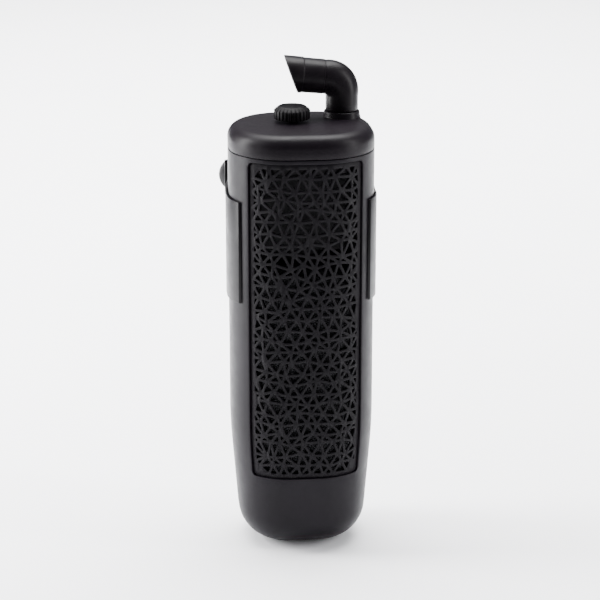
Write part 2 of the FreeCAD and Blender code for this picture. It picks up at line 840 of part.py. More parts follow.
def make_bobbin():
    """Coil former on the yoke: a square tube with a flange at each end."""
    front, back = dim.bobbin_front, dim.bobbin_back
    play, flange_x, flange_z = 0.1, 2.2, 4
    tube = yoke_band("BobbinTube", dim.bobbin_wall + play, (front, back))
    flanges = []
    for y_span in ((front, front + dim.bobbin_flange), (back - dim.bobbin_flange, back)):
        x_span = (dim.yoke_left - flange_z, dim.core_right + flange_x)
        z_span = (-dim.core_foot - flange_z, -dim.core_head + flange_z)
        flanges.append(box("BobbinFlange", x_span, y_span, z_span))
    solid = fuse("BobbinSolid", [tube] + flanges)
    hole = yoke_band("BobbinHole", play, (front - 1, back + 1))
    return node(cut("Bobbin", solid, [hole]), "coil_bobbin")


def make_coil():
    """Copper winding between the bobbin's flanges."""
    body = new_body("Coil")
    near = dim.bobbin_front + dim.bobbin_flange + 0.1
    far = dim.bobbin_back - dim.bobbin_flange - 0.1
    bottom, top = dim.core_foot, dim.core_head
    middle_z = 0.5 * (bottom + top)
    half_x, half_z, corner, middle_x = 5.2, 13.4, 2.5, dim.yoke_left + 1.8
    pad(body, rounded(half_x, half_z, corner, middle_x, -middle_z), -far, -near, "XZ_Plane")
    gap = dim.bobbin_wall + 0.2
    hole = rectangle(dim.yoke_left - gap, dim.core_right + gap, -bottom - gap, -top + gap)
    pocket(body, hole, -far - 1, -near + 1, "XZ_Plane")
    return node(body, "coil_winding")


def duct_block(name, half, rise):
    """Block from the rotor's axis towards the outlet's, between the chamber's floor and roof."""
    duct = doc.addObject("Part::Box", name)
    low = -dim.chamber_foot + rise
    bind(duct, "Length", as_size(26))
    bind(duct, "Width", 2 * half)
    bind(duct, "Height", dim.chamber_foot - dim.chamber_head - 2 * rise)
    turned = FreeCAD.Rotation(FreeCAD.Vector(0, 0, 1), dim.duct_angle.value)
    start = FreeCAD.Vector(dim.rotor_offset_x.value, dim.rotor_offset_y.value, low.value)
    corner = turned.multVec(FreeCAD.Vector(0, -half.value, 0))
    duct.Placement = FreeCAD.Placement(start + corner, turned)
    bind(duct, "Placement.Rotation.Angle", dim.duct_angle)
    return duct


def make_chamber():
    """Pump chamber: floor with the eye, ring wall, duct and the outlet's socket."""
    low, high = -dim.chamber_foot, -dim.chamber_head
    floor = dim.chamber_floor
    rotor = (dim.rotor_offset_x, dim.rotor_offset_y)
    outlet = (dim.outlet_offset_x, dim.outlet_offset_y)
    bore_round = dim.spigot_round + dim.socket_play
    duct_half = 0.5 * dim.duct_width
    ring = cylinder("ChamberRing", dim.chamber_round + dim.chamber_wall, low, high, *rotor)
    socket = cylinder("ChamberSocket", bore_round + dim.socket_wall, low, -dim.top_plate, *outlet)
    outer_duct = duct_block("DuctOuter", duct_half + 1.4, as_size(0))
    inner_duct = duct_block("DuctInner", duct_half, floor)
    solid = fuse("ChamberSolid", [ring, socket, outer_duct])
    hollow = cylinder("ChamberHollow", dim.chamber_round, low + floor, 0, *rotor)
    eye = cylinder("ChamberEye", dim.eye_round, low - 1, 0, *rotor)
    bore = cylinder("SocketBore", bore_round, low + floor, 0, *outlet)
    return node(cut("Chamber", solid, [inner_duct, hollow, eye, bore]), "pump_chamber")


def make_intake_cover():
    """Dish under the motor that leads from the strainer tube to the intake channel."""
    body = new_body("Intake")
    spot = (dim.dish_x, dim.pot_centre_y)
    top, wall = -dim.pot_drop, dim.dish_wall
    height, spout = 6, 12
    pad(body, rounded(dim.dish_half_x, dim.dish_half_y, dim.dish_corner, *spot), top - height, top)
    pad(body, circle(dim.tube_bore - 0.4), top - spout, top - height + 1)
    hollow = rounded(dim.dish_half_x - wall, dim.dish_half_y - wall, dim.dish_corner - wall, *spot)
    pocket(body, hollow, top - height + wall, top + 1)
    pocket(body, circle(dim.tube_bore - 2), top - spout - 1, top - 3)
    return node(body, "intake_cover")


# ---------------------------------------------------------------- rotor and its bearings

def ring_node(label, bore, radius, low, high, frame=rotor_frame):
    """Plain turned piece: a disc or sleeve with a bore, or a rod where the bore is nought."""
    body = new_body("Ring")
    inner = as_size(bore)
    revolve(body, rectangle(inner, radius, low, high))
    return node(body, label, frame)


def make_rotor():
    bearing = dim.shaft_round + dim.shaft_play
    sleeve_round, washer_round = as_size(2.4), as_size(2.9)
    shaft_foot, shaft_head = -50, -6.2
    magnet_foot, magnet_head = -47.2, -20.6
    lower_washer, upper_washer = (-48.3, -47.8), (-8.1, -7.7)
    ring_node("rotor_shaft", 0, dim.shaft_round, shaft_foot, shaft_head)
    ring_node("rotor_sleeve", bearing, sleeve_round, magnet_foot - 0.4, magnet_head)
    ring_node("rotor_magnet", sleeve_round, dim.magnet_round, magnet_foot, magnet_head)
    ring_node("lower_thrust_washer", dim.shaft_round, washer_round, *lower_washer)
    ring_node("upper_thrust_washer", dim.shaft_round, washer_round, *upper_washer)


def make_bushes():
    """Rubber cups that hold the two ends of the shaft."""
    lower_round, lower_top, shaft_foot = 4, -48.3, -50
    lower = new_body("LowerBush")
    revolve(lower, rectangle(0, lower_round, -dim.well_foot, lower_top))
    pocket(lower, circle(dim.shaft_round), shaft_foot, lower_top + 1)
    node(lower, "lower_shaft_bush", rotor_frame)
    upper_round, upper_foot, upper_top, shaft_head = 2.7, -7.7, -5.3, -6.2
    upper = new_body("UpperBush")
    revolve(upper, rectangle(0, upper_round, upper_foot, upper_top))
    pocket(upper, circle(dim.shaft_round), upper_foot - 1, shaft_head)
    node(upper, "upper_shaft_bush", rotor_frame)


def make_impeller():
    """Hub with six straight blades, on the magnet's upper end."""
    body = new_body("Impeller")
    bearing = dim.shaft_round + dim.shaft_play
    hub_round, hub_foot, hub_top, blade_foot, blades = 3.2, -20.5, -8.3, -13.6, 6
    revolve(body, rectangle(bearing, hub_round, hub_foot, hub_top))
    half = 0.5 * dim.blade_wall
    plan = rectangle(hub_round - 0.6, dim.impeller_round, -half, half)
    polar(body, pad(body, plan, blade_foot, hub_top), blades)
    return node(body, "impeller", rotor_frame)


# ---------------------------------------------------------------- flow knob and throttle

def make_knob():
    """Flow knob with a bevelled top, teeth round its side and a stem."""
    body = new_body("Knob")
    stem_foot, bevel, tooth_round = -3.5, 1.8, 0.55
    profile = [
        (0, stem_foot), (dim.stem_round, stem_foot), (dim.stem_round, dim.knob_low),
        (dim.knob_round, dim.knob_low), (dim.knob_round, dim.knob_high - bevel),
        (dim.knob_top_round, dim.knob_high), (0, dim.knob_high),
    ]
    revolve(body, polygon(profile))
    tooth = circle(tooth_round, dim.knob_round, 0)
    first = pocket(body, tooth, dim.knob_low - 1, dim.knob_high + 1)
    polar(body, first, int(dim.knob_teeth.value))
    groove = new_body("KnobGroove")
    groove_round, groove_foot, groove_top = 2.35, -1.7, -0.8
    revolve(groove, rectangle(groove_round, dim.stem_round + 0.6, groove_foot, groove_top))
    return node(cut("KnobCut", body, [groove]), "flow_knob", rotor_frame)


def make_throttle():
    """Ring valve round the impeller: a disc on the stem and a wall with one port."""
    body = new_body("Throttle")
    inner = dim.throttle_round - dim.throttle_wall
    low, under, top = -13.9, -4.8, -3.5
    profile = [(0, under), (inner, under), (inner, low), (dim.throttle_round, low),
               (dim.throttle_round, top), (0, top)]
    revolve(body, polygon(profile))
    half_port, reach = 5.2, 20
    pocket(body, rectangle(0, reach, -half_port, half_port), low + 0.8, under - 0.6)
    valve = node(body, "throttle_ring", rotor_frame)
    valve.Placement.Rotation = FreeCAD.Rotation(FreeCAD.Vector(0, 0, 1), dim.duct_angle.value)
    bind(valve, "Placement.Rotation.Angle", dim.duct_angle)


def torus_node(label, ring, section, height, frame):
    """O-ring."""
    seal = doc.addObject("Part::Torus", "Seal")
    bind(seal, "Radius1", as_size(ring))
    bind(seal, "Radius2", as_size(section))
    node(seal, label, frame)
    bind(seal, "Placement.Base.z", frame[2] + height)


# ---------------------------------------------------------------- outlet

def pipe_path(sketch):
    """Centre line of the elbow, x outwards and y up: riser, bend and tilted arm."""
    radius, start = dim.bend_round.value, dim.bend_start.value
    tilt = math.radians(dim.arm_tilt.value)
    turn = math.pi / 2 - tilt
    end = (radius * (math.cos(turn) - 1), start + radius * math.sin(turn))
    reach = dim.arm_reach.value
    mouth = (end[0] - reach * math.cos(tilt), end[1] + reach * math.sin(tilt))
    foot = dim.boss_rise.value + dim.free_play.value
    riser = Part.LineSegment(FreeCAD.Vector(0, foot, 0), FreeCAD.Vector(0, start, 0))
    sketch.addGeometry(riser, False)
    ring = Part.Circle(FreeCAD.Vector(-radius, start, 0), FreeCAD.Vector(0, 0, 1), radius)
    sketch.addGeometry(Part.ArcOfCircle(ring, 0, turn), False)
    arm = Part.LineSegment(FreeCAD.Vector(*end, 0), FreeCAD.Vector(*mouth, 0))
    sketch.addGeometry(arm, False)
    hold(sketch, 0, 1, 0, dim.boss_rise + dim.free_play)
    hold(sketch, 0, 2, 0, dim.bend_start)
    sketch.addConstraint(Sketcher.Constraint("Tangent", 0, 2, 1, 1))
    sketch.addConstraint(Sketcher.Constraint("Tangent", 1, 2, 2, 1))
    set_radius(sketch, 1, dim.bend_round)
    length = sketch.addConstraint(Sketcher.Constraint("Distance", 2, reach))
    bind(sketch, "Constraints[%d]" % length, dim.arm_reach)
    lean = Sketcher.Constraint("Angle", -1, 1, 2, 1, math.pi - tilt)
    slope = sketch.addConstraint(lean)
    bind(sketch, "Constraints[%d]" % slope, 180 - dim.arm_tilt)


def slant_cutter(name):
    """Block beyond the slanted plane of the mouth, whose upper lip reaches further out."""
    lean = (dim.lip_low_x.value - dim.lip_top_x.value) / (dim.lip_top_z.value - dim.lip_low_z.value)
    body = new_body(name)
    far_x, low_z, high_z, half = -60, 0.0, 45.0, 20
    near = [-dim.lip_low_x.value + lean * (z - dim.lip_low_z.value) for z in (low_z, high_z)]
    points = [(near[0], low_z), (far_x, low_z), (far_x, high_z), (near[1], high_z)]
    pad(body, polygon(points), -half, half, "XZ_Plane")
    return body


def make_elbow():
    """Elbow: spigot with a seal groove, riser, bend and arm, bored right through."""
    body = new_body("Elbow")
    foot = dim.boss_rise + dim.free_play
    for radius, kind in ((dim.riser_round, "PartDesign::AdditivePipe"),
                         (dim.pipe_bore, "PartDesign::SubtractivePipe")):
        profile = new_sketch(body, "XY_Plane", foot)
        circle(radius)(profile)
        spine = new_sketch(body, "XZ_Plane", 0)
        pipe_path(spine)
        pipe = body.newObject(kind, "Pipe")
        pipe.Profile = profile
        pipe.Spine = (spine, ["Edge1", "Edge2", "Edge3"])
    spigot_foot = -10
    pad(body, circle(dim.spigot_round), spigot_foot, foot)
    pocket(body, circle(dim.spigot_bore), spigot_foot - 1, foot + 0.5)
    groove = new_body("ElbowGroove")
    groove_round, groove_foot, groove_top = 4.75, -7.6, -6.4
    revolve(groove, rectangle(groove_round, dim.spigot_round + 1, groove_foot, groove_top))
    elbow = cut("ElbowCut", body, [groove, slant_cutter("ElbowSlant")])
    return node(elbow, "outlet_elbow", outlet_frame)


def make_nozzle():
    """Flared tip over the arm, with a raised band at its slanted mouth."""
    tilt = dim.arm_tilt.value
    turn = math.pi / 2 - math.radians(tilt)
    radius, start = dim.bend_round.value, dim.bend_start.value
    base = FreeCAD.Vector(radius * (math.cos(turn) - 1), 0, start + radius * math.sin(turn))
    aim = FreeCAD.Rotation(FreeCAD.Vector(0, 1, 0), tilt - 90)
    sleeve = ("TipCone", 0.5, 8.3, 8.5)
    band = ("TipBand", 12.0, 8.6, 8.75)
    end, bore_start, bore_end = 22, -2, 24
    pieces = []
    for name, first, near, far in (sleeve, band):
        cone = doc.addObject("Part::Cone", name)
        cone.Height = end - first
        cone.Radius1 = near
        cone.Radius2 = far
        cone.Placement = FreeCAD.Placement(base + aim.multVec(FreeCAD.Vector(0, 0, first)), aim)
        pieces.append(cone)
    bore = doc.addObject("Part::Cylinder", "TipBore")
    bind(bore, "Radius", dim.riser_round)
    bore.Height = bore_end - bore_start
    bore.Placement = FreeCAD.Placement(base + aim.multVec(FreeCAD.Vector(0, 0, bore_start)), aim)
    tip = cut("TipCut", fuse("TipSolid", pieces), [bore, slant_cutter("TipSlant")])
    return node(tip, "nozzle_tip", outlet_frame)


def make_round_seals():
    knob_ring, knob_section, knob_height = 2.67, 0.31, -1.25
    torus_node("knob_seal", knob_ring, knob_section, knob_height, rotor_frame)
    outlet_ring, outlet_section, outlet_height = 5.28, 0.5, -7.0
    torus_node("outlet_seal", outlet_ring, outlet_section, outlet_height, outlet_frame)


# ---------------------------------------------------------------- build and write

def build_all():
    make_bracket()
    make_cup("suction_cup_left", -1)
    make_cup("suction_cup_right", 1)
    make_canister()
    make_grille()
    make_foam()
    make_tube()
    make_head()
    make_head_seal()
    make_gland()
    make_motor_housing()
    make_resin()
    make_laminations()
    make_bobbin()
    make_coil()
    make_chamber()
    make_intake_cover()
    make_bushes()
    make_rotor()
    make_impeller()
    make_knob()
    make_throttle()
    make_elbow()
    make_nozzle()
    make_round_seals()


def check_and_write():
    doc.recompute()
    for thing in doc.Objects:
        if "Invalid" in thing.State or "Error" in thing.State:
            raise RuntimeError("%s (%s) failed: %s" % (thing.Name, thing.Label, thing.State))
    for thing in nodes:
        if thing.Shape.isNull() or not thing.Shape.isValid():
            raise RuntimeError("%s has no valid shape" % thing.Label)
    os.makedirs("parts", exist_ok=True)
    for thing in nodes:
        thing.Shape.exportStep("parts/%s.step" % thing.Label)
        extent = thing.Shape.BoundBox
        size = (thing.Label, len(thing.Shape.Solids), thing.Shape.Volume)
        print("%-20s %d solids %9.1f mm3" % size, "z %.1f to %.1f" % (extent.ZMin, extent.ZMax))


build_all()
check_and_write()
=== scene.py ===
import math
import random

import bmesh
import bpy
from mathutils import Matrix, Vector, noise
from mathutils.geometry import delaunay_2d_cdt


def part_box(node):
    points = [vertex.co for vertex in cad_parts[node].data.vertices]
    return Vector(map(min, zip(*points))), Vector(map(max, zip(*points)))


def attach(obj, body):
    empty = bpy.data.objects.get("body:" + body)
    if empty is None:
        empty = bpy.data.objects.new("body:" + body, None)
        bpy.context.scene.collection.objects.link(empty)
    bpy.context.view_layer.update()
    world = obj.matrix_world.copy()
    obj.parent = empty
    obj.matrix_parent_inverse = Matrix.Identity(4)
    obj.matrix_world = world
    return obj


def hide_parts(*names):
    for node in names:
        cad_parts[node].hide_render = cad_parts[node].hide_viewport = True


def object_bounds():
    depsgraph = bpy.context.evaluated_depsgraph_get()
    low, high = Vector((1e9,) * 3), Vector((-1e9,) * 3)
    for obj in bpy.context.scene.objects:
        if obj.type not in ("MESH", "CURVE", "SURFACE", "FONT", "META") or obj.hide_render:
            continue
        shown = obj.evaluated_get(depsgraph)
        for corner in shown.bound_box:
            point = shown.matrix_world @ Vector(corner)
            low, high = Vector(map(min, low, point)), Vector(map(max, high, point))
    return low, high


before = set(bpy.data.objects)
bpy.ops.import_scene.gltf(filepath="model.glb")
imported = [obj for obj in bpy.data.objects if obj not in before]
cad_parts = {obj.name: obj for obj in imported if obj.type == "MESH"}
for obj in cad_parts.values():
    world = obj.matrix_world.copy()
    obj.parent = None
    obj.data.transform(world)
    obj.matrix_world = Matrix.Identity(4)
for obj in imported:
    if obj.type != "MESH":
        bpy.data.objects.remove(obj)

# Internal aquarium filter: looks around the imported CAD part.
# Pieces are drawn in millimetres in the filter's frame, whose origin is on the canister's
# vertical axis at the plane of the head's top, and are moved to the row frame in metres.

cad_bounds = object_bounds()
MM = 0.001
HALF_WIDTH, HALF_DEPTH, CORNER = 34.7, 31.0, 27.7
CANISTER_DROP = 209.0
canister_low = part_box("canister")[0]
AXIS_Y = canister_low.y / MM + HALF_DEPTH
TOP_Z = canister_low.z / MM + CANISTER_DROP

# plan of the wall: distance along it from the front's middle to the side's middle
FLAT_FRONT = HALF_WIDTH - CORNER
FLAT_SIDE = HALF_DEPTH - CORNER
QUARTER = FLAT_FRONT + CORNER * math.pi / 2
WINDOW_HALF, WINDOW_TOP, WINDOW_LOW, WINDOW_CORNER = 27.0, -13.2, -170.0, 2.5
WINDOW_RUN = FLAT_FRONT + CORNER * math.asin((WINDOW_HALF - FLAT_FRONT) / CORNER)
ARC_STEPS = 4

# foot of the canister; the taper is what its half width, half depth and corner lose
TAPER_START, TAPER_SOFT, TAPER_LENGTH = 140.0, 20.0, 59.0
TAPER = (4.8, 4.6, 4.6)
FOOT_ROUND = 18.0
FOOT_LEAN = math.atan(TAPER[0] / TAPER_LENGTH)
FOOT_START = -CANISTER_DROP + FOOT_ROUND * (1 - math.sin(FOOT_LEAN))

# upright axes, and the spread of the suction cups from the middle
ROTOR = (-4.0, 2.0)
OUTLET = (20.9, 12.2)
CUP_SPREAD = 28.0

# distances, in the unit of the points compared, below which two count as one
SAME = 1e-6
MERGE = 1e-7


def at(x, y, z):
    """Point of the filter's frame, in the row frame."""
    return Vector((x, y + AXIS_Y, z + TOP_Z)) * MM


# ---------------------------------------------------------------- mesh helpers

def new_piece(name, points, faces):
    mesh = bpy.data.meshes.new(name)
    mesh.from_pydata([tuple(point) for point in points], [], faces)
    mesh.validate()
    piece = bpy.data.objects.new(name, mesh)
    bpy.context.scene.collection.objects.link(piece)
    clean(piece)
    return piece


def clean(piece):
    bm = bmesh.new()
    bm.from_mesh(piece.data)
    bmesh.ops.remove_doubles(bm, verts=bm.verts, dist=MERGE)
    loose = [vert for vert in bm.verts if not vert.link_faces]
    bmesh.ops.delete(bm, geom=loose, context="VERTS")
    bmesh.ops.recalc_face_normals(bm, faces=bm.faces)
    bm.to_mesh(piece.data)
    bm.free()


def apply_modifiers(piece):
    graph = bpy.context.evaluated_depsgraph_get()
    mesh = bpy.data.meshes.new_from_object(piece.evaluated_get(graph))
    piece.modifiers.clear()
    piece.data = mesh


def bevel(piece, width, segments=2, angle=40):
    modifier = piece.modifiers.new("Bevel", "BEVEL")
    modifier.width = width * MM
    modifier.segments = segments
    modifier.limit_method = "ANGLE"
    modifier.angle_limit = math.radians(angle)
    modifier.miter_outer = "MITER_ARC"
    apply_modifiers(piece)


def boolean(piece, tool, operation):
    modifier = piece.modifiers.new("Boolean", "BOOLEAN")
    modifier.operation = operation
    modifier.solver = "EXACT"
    modifier.object = tool
    apply_modifiers(piece)
    bpy.data.objects.remove(tool)


def smooth(piece, angle=35):
    mesh = piece.data
    mesh.shade_smooth()
    mesh.set_sharp_from_angle(angle=math.radians(angle))


def finish_piece(piece, body, material, nodes=()):
    piece.data.materials.clear()
    piece.data.materials.append(material)
    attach(piece, body)
    if nodes:
        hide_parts(*nodes)
    return piece


def strip(rings, closed=False):
    """Faces between rings of equal length, each ring closed on itself."""
    count = len(rings[0])
    faces = []
    last = len(rings) if closed else len(rings) - 1
    for level in range(last):
        here, above = level * count, ((level + 1) % len(rings)) * count
        for index in range(count):
            following = (index + 1) % count
            faces.append((here + index, here + following, above + following, above + index))
    return faces


def walled(faces, offset):
    """Outer faces, their copies on the inner points and a wall along every open edge."""
    uses = {}
    for face in faces:
        for start, end in zip(face, face[1:] + face[:1]):
            uses.setdefault((min(start, end), max(start, end)), []).append((start, end))
    result = faces + [[index + offset for index in reversed(face)] for face in faces]
    for spots in uses.values():
        if len(spots) == 1:
            start, end = spots[0]
            result.append([end, start, start + offset, end + offset])
    return result


def lathe(name, profile, place, segments=96, closed=False):
    """Turn a profile of (radius, height) round an axis; place makes a point of the row frame."""
    rings = []
    for radius, height in profile:
        ring = []
        for step in range(segments):
            turn = 2 * math.pi * step / segments
            ring.append(place(radius * math.cos(turn), radius * math.sin(turn), height))
        rings.append(ring)
    points = [point for ring in rings for point in ring]
    faces = strip(rings, closed)
    if not closed:
        faces.append(tuple(range(segments)))
        faces.append(tuple(reversed(range(len(points) - segments, len(points)))))
    return new_piece(name, points, faces)


def rounded_profile(corners, steps=4):
    """Profile whose corners, given as (radius, height, rounding), are arcs."""
    longest = 0.49
    profile = []
    for index, (radius, height, rounding) in enumerate(corners):
        here = Vector((radius, height))
        if rounding == 0 or index in (0, len(corners) - 1):
            profile.append(tuple(here))
            continue
        before = Vector(corners[index - 1][:2]) - here
        after = Vector(corners[index + 1][:2]) - here
        start = here + before.normalized() * min(rounding, longest * before.length)
        end = here + after.normalized() * min(rounding, longest * after.length)
        for step in range(steps + 1):
            share = step / steps
            point = start.lerp(here, share).lerp(here.lerp(end, share), share)
            profile.append(tuple(point))
    return profile


# ---------------------------------------------------------------- the wall's form

def taper_share(z):
    """How far the wall has drawn in at a height, from 0 to 1, with a soft start."""
    depth = -z - TAPER_START
    if depth <= 0:
        return 0.0
    if depth < TAPER_SOFT:
        return depth * depth / (2 * TAPER_SOFT) / TAPER_LENGTH
    return (depth - TAPER_SOFT / 2) / TAPER_LENGTH


def wall_point(run, z, inset):
    """Point of the filter's frame on the front wall, from the run along it and the height."""
    share = taper_share(z)
    half_x, half_y = HALF_WIDTH - TAPER[0] * share, HALF_DEPTH - TAPER[1] * share
    corner = CORNER - TAPER[2] * share
    flat = half_x - corner
    size = abs(run)
    if size <= FLAT_FRONT:
        return Vector((run * flat / FLAT_FRONT, -half_y + inset, z))
    if size <= QUARTER:
        turn = (size - FLAT_FRONT) / CORNER
        radius = corner - inset
        x = flat + radius * math.sin(turn)
        return Vector((math.copysign(x, run), corner - half_y - radius * math.cos(turn), z))
    rest = (size - QUARTER) / FLAT_SIDE
    return Vector((math.copysign(half_x - inset, run), (corner - half_y) * (1 - rest), z))


def plan_ring(runs, z, inset):
    """Closed ring round the wall from a quarter's runs, mirrored to all four quarters."""
    quarter = [wall_point(run, z, inset) for run in runs]
    right_back = [Vector((p.x, -p.y, p.z)) for p in quarter[-2::-1]]
    left_back = [Vector((-p.x, -p.y, p.z)) for p in quarter[1:]]
    left_front = [Vector((-p.x, p.y, p.z)) for p in quarter[-2:0:-1]]
    return quarter + right_back + left_back + left_front


def quarter_runs(special=()):
    runs = [0, FLAT_FRONT / 2]
    steps = 20
    runs += [FLAT_FRONT + CORNER * math.pi / 2 * step / steps for step in range(steps + 1)]
    runs.append(QUARTER + FLAT_SIDE)
    clear = 1.0
    kept = [run for run in runs if all(abs(run - other) > clear for other in special)]
    return sorted(kept + list(special))


def rings_to_piece(name, rings):
    """Closed piece from rings of points in the filter's frame, capped at both ends."""
    count = len(rings[0])
    points = [at(*point) for ring in rings for point in ring]
    faces = strip(rings)
    faces.append(tuple(range(count)))
    faces.append(tuple(reversed(range(len(points) - count, len(points)))))
    return new_piece(name, points, faces)


def foot_levels(steps):
    """Extra inset and angle of each level down the rounding at the canister's foot."""
    levels = []
    for step in range(1, steps + 1):
        turn = FOOT_LEAN + (math.pi / 2 - FOOT_LEAN) * step / steps
        inset = FOOT_ROUND * (math.cos(FOOT_LEAN) - math.cos(turn))
        levels.append((inset, turn))
    return levels


def foot_rings(runs, inset, steps=12):
    """Rings down the rounded foot, of a wall that lies inside the outer one by an inset."""
    centre = FOOT_START + FOOT_ROUND * math.sin(FOOT_LEAN)
    rings = []
    for extra, turn in foot_levels(steps):
        ring = plan_ring(runs, FOOT_START, inset + extra * (1 - inset / FOOT_ROUND))
        z = centre - (FOOT_ROUND - inset) * math.sin(turn) - inset * math.sin(FOOT_LEAN)
        rings.append([Vector((point.x, point.y, z)) for point in ring])
    return rings


# ---------------------------------------------------------------- materials

def socket(shader, name, value):
    if name in shader.inputs:
        shader.inputs[name].default_value = value


class Finish:
    """A procedural material: two colours mixed by noise, varied roughness and fine bump."""

    def __init__(self, name, first, second, rough, patch=25, grain=2200, bump=0.25, depth=0.03, metal=0):
        self.material = bpy.data.materials.new(name)
        self.material.use_nodes = True
        self.tree = self.material.node_tree
        self.shader = self.tree.nodes["Principled BSDF"]
        socket(self.shader, "Metallic", metal)
        self.place = self.add("ShaderNodeTexCoord").outputs["Object"]
        self.patches = self.noise(patch, 4, 0.55)
        self.grain = self.noise(grain, 3, 0.6)
        self.colour = self.mix(self.patches, first, second)
        self.join(self.colour, "Base Color")
        self.roughness = self.spread(self.noise(patch * 6, 5, 0.6), rough[0], rough[1])
        self.join(self.roughness, "Roughness")
        self.height = self.grain
        self.relief = self.add("ShaderNodeBump")
        self.relief.inputs["Strength"].default_value = bump
        self.relief.inputs["Distance"].default_value = depth * MM
        self.tree.links.new(self.height, self.relief.inputs["Height"])
        self.join(self.relief.outputs["Normal"], "Normal")

    def add(self, kind):
        return self.tree.nodes.new(kind)

    def join(self, output, name):
        self.tree.links.new(output, self.shader.inputs[name])

    def noise(self, scale, detail, rough):
        texture = self.add("ShaderNodeTexNoise")
        texture.inputs["Scale"].default_value = scale
        texture.inputs["Detail"].default_value = detail
        texture.inputs["Roughness"].default_value = rough
        self.tree.links.new(self.place, texture.inputs["Vector"])
        return texture.outputs["Fac"]

    def spread(self, value, low, high, start=0.3, end=0.7):
        node = self.add("ShaderNodeMapRange")
        self.tree.links.new(value, node.inputs["Value"])
        node.inputs["From Min"].default_value = start
        node.inputs["From Max"].default_value = end
        node.inputs["To Min"].default_value = low
        node.inputs["To Max"].default_value = high
        return node.outputs["Result"]

    def mix(self, value, first, second, start=0.3, end=0.7):
        ramp = self.add("ShaderNodeValToRGB")
        ramp.color_ramp.elements[0].position = start
        ramp.color_ramp.elements[1].position = end
        ramp.color_ramp.elements[0].color = (*first, 1)
        ramp.color_ramp.elements[1].color = (*second, 1)
        self.tree.links.new(value, ramp.inputs["Fac"])
        return ramp.outputs["Color"]

    def blend(self, kind, factor, first, second):
        """Mix two colours, each an output or a fixed colour."""
        node = self.add("ShaderNodeMix")
        node.data_type = "RGBA"
        node.blend_type = kind
        for value, entry in ((factor, node.inputs[0]), (first, node.inputs[6]), (second, node.inputs[7])):
            if isinstance(value, bpy.types.NodeSocket):
                self.tree.links.new(value, entry)
            elif isinstance(value, tuple):
                entry.default_value = (*value, 1)
            else:
                entry.default_value = value
        return node.outputs[2]

    def add_height(self, value, strength, depth):
        """A second, coarser relief under the grain."""
        relief = self.add("ShaderNodeBump")
        relief.inputs["Strength"].default_value = strength
        relief.inputs["Distance"].default_value = depth * MM
        self.tree.links.new(value, relief.inputs["Height"])
        self.tree.links.new(relief.outputs["Normal"], self.relief.inputs["Normal"])

    def edge_wear(self, colour, amount):
        """Lighter, rubbed edges, where the surface turns sharply outwards."""
        geometry = self.add("ShaderNodeNewGeometry")
        flat, sharp = 0.53, 0.62
        edge = self.spread(geometry.outputs["Pointiness"], 0, amount, flat, sharp)
        self.colour = self.blend("MIX", edge, self.colour, colour)
        self.join(self.colour, "Base Color")

    def bands(self, direction, period, strength, depth, dark=0.6):
        """Lines across the surface, such as sheets of a stack or turns of a winding."""
        wave = self.add("ShaderNodeTexWave")
        wave.wave_type = "BANDS"
        wave.bands_direction = direction
        wave.inputs["Scale"].default_value = 1 / (math.pi * period * MM)
        wave.inputs["Distortion"].default_value = 0.4
        wave.inputs["Detail"].default_value = 1
        self.tree.links.new(self.place, wave.inputs["Vector"])
        self.add_height(wave.outputs["Fac"], strength, depth)
        lines = self.mix(wave.outputs["Fac"], (dark, dark, dark), (1, 1, 1), 0.05, 0.5)
        self.colour = self.blend("MULTIPLY", 1.0, self.colour, lines)
        self.join(self.colour, "Base Color")


def plastic(name, tint, rough=(0.36, 0.46), grain=1900, bump=0.35, wear=0.15, shine=0.1):
    """Dark moulded plastic with a fine grain, slow waves in its skin and rubbed edges."""
    darker = tuple(0.78 * part for part in tint)
    lighter = tuple(1.25 * part for part in tint)
    rubbed = tuple(3.0 * part + 0.006 for part in tint)
    finish = Finish(name, darker, lighter, rough, grain=grain, bump=bump, depth=0.035)
    finish.add_height(finish.noise(60, 3, 0.5), 0.12, 0.12)
    finish.edge_wear(rubbed, wear)
    socket(finish.shader, "Specular IOR Level", shine)
    return finish.material


CHARCOAL = (0.0036, 0.0023, 0.0038)
head_plastic = plastic("head_plastic", CHARCOAL)
canister_plastic = plastic("canister_plastic", (0.0038, 0.0028, 0.0045))
grille_plastic = plastic("grille_plastic", (0.0034, 0.0028, 0.0038), rough=(0.5, 0.62), wear=0.1,
                         shine=0.08)
holder_plastic = plastic("holder_plastic", (0.0036, 0.003, 0.004), rough=(0.32, 0.44), wear=0.08)
knob_plastic = plastic("knob_plastic", (0.0034, 0.0026, 0.0036), rough=(0.42, 0.55))
outlet_plastic = plastic("outlet_plastic", (0.0042, 0.0029, 0.0042), rough=(0.32, 0.44))
inner_plastic = plastic("inner_plastic", (0.016, 0.0155, 0.017), rough=(0.42, 0.55), grain=1400)
bobbin_plastic = plastic("bobbin_plastic", (0.42, 0.38, 0.3), rough=(0.4, 0.5), wear=0.05)
impeller_plastic = plastic("impeller_plastic", (0.16, 0.18, 0.2), rough=(0.35, 0.45), wear=0.1)


def rubber(name, tint, rough=(0.5, 0.66)):
    """Matt black rubber with a faint bloom."""
    lighter = tuple(1.6 * part for part in tint)
    finish = Finish(name, tint, lighter, rough, patch=90, grain=2600, bump=0.3, depth=0.02)
    finish.add_height(finish.noise(420, 3, 0.55), 0.2, 0.06)
    socket(finish.shader, "Sheen Weight", 0.02)
    socket(finish.shader, "Specular IOR Level", 0.22)
    socket(finish.shader, "Sheen Roughness", 0.5)
    return finish.material


cup_rubber = rubber("cup_rubber", (0.0045, 0.004, 0.005), rough=(0.3, 0.44))
seal_rubber = rubber("seal_rubber", (0.007, 0.007, 0.0078))


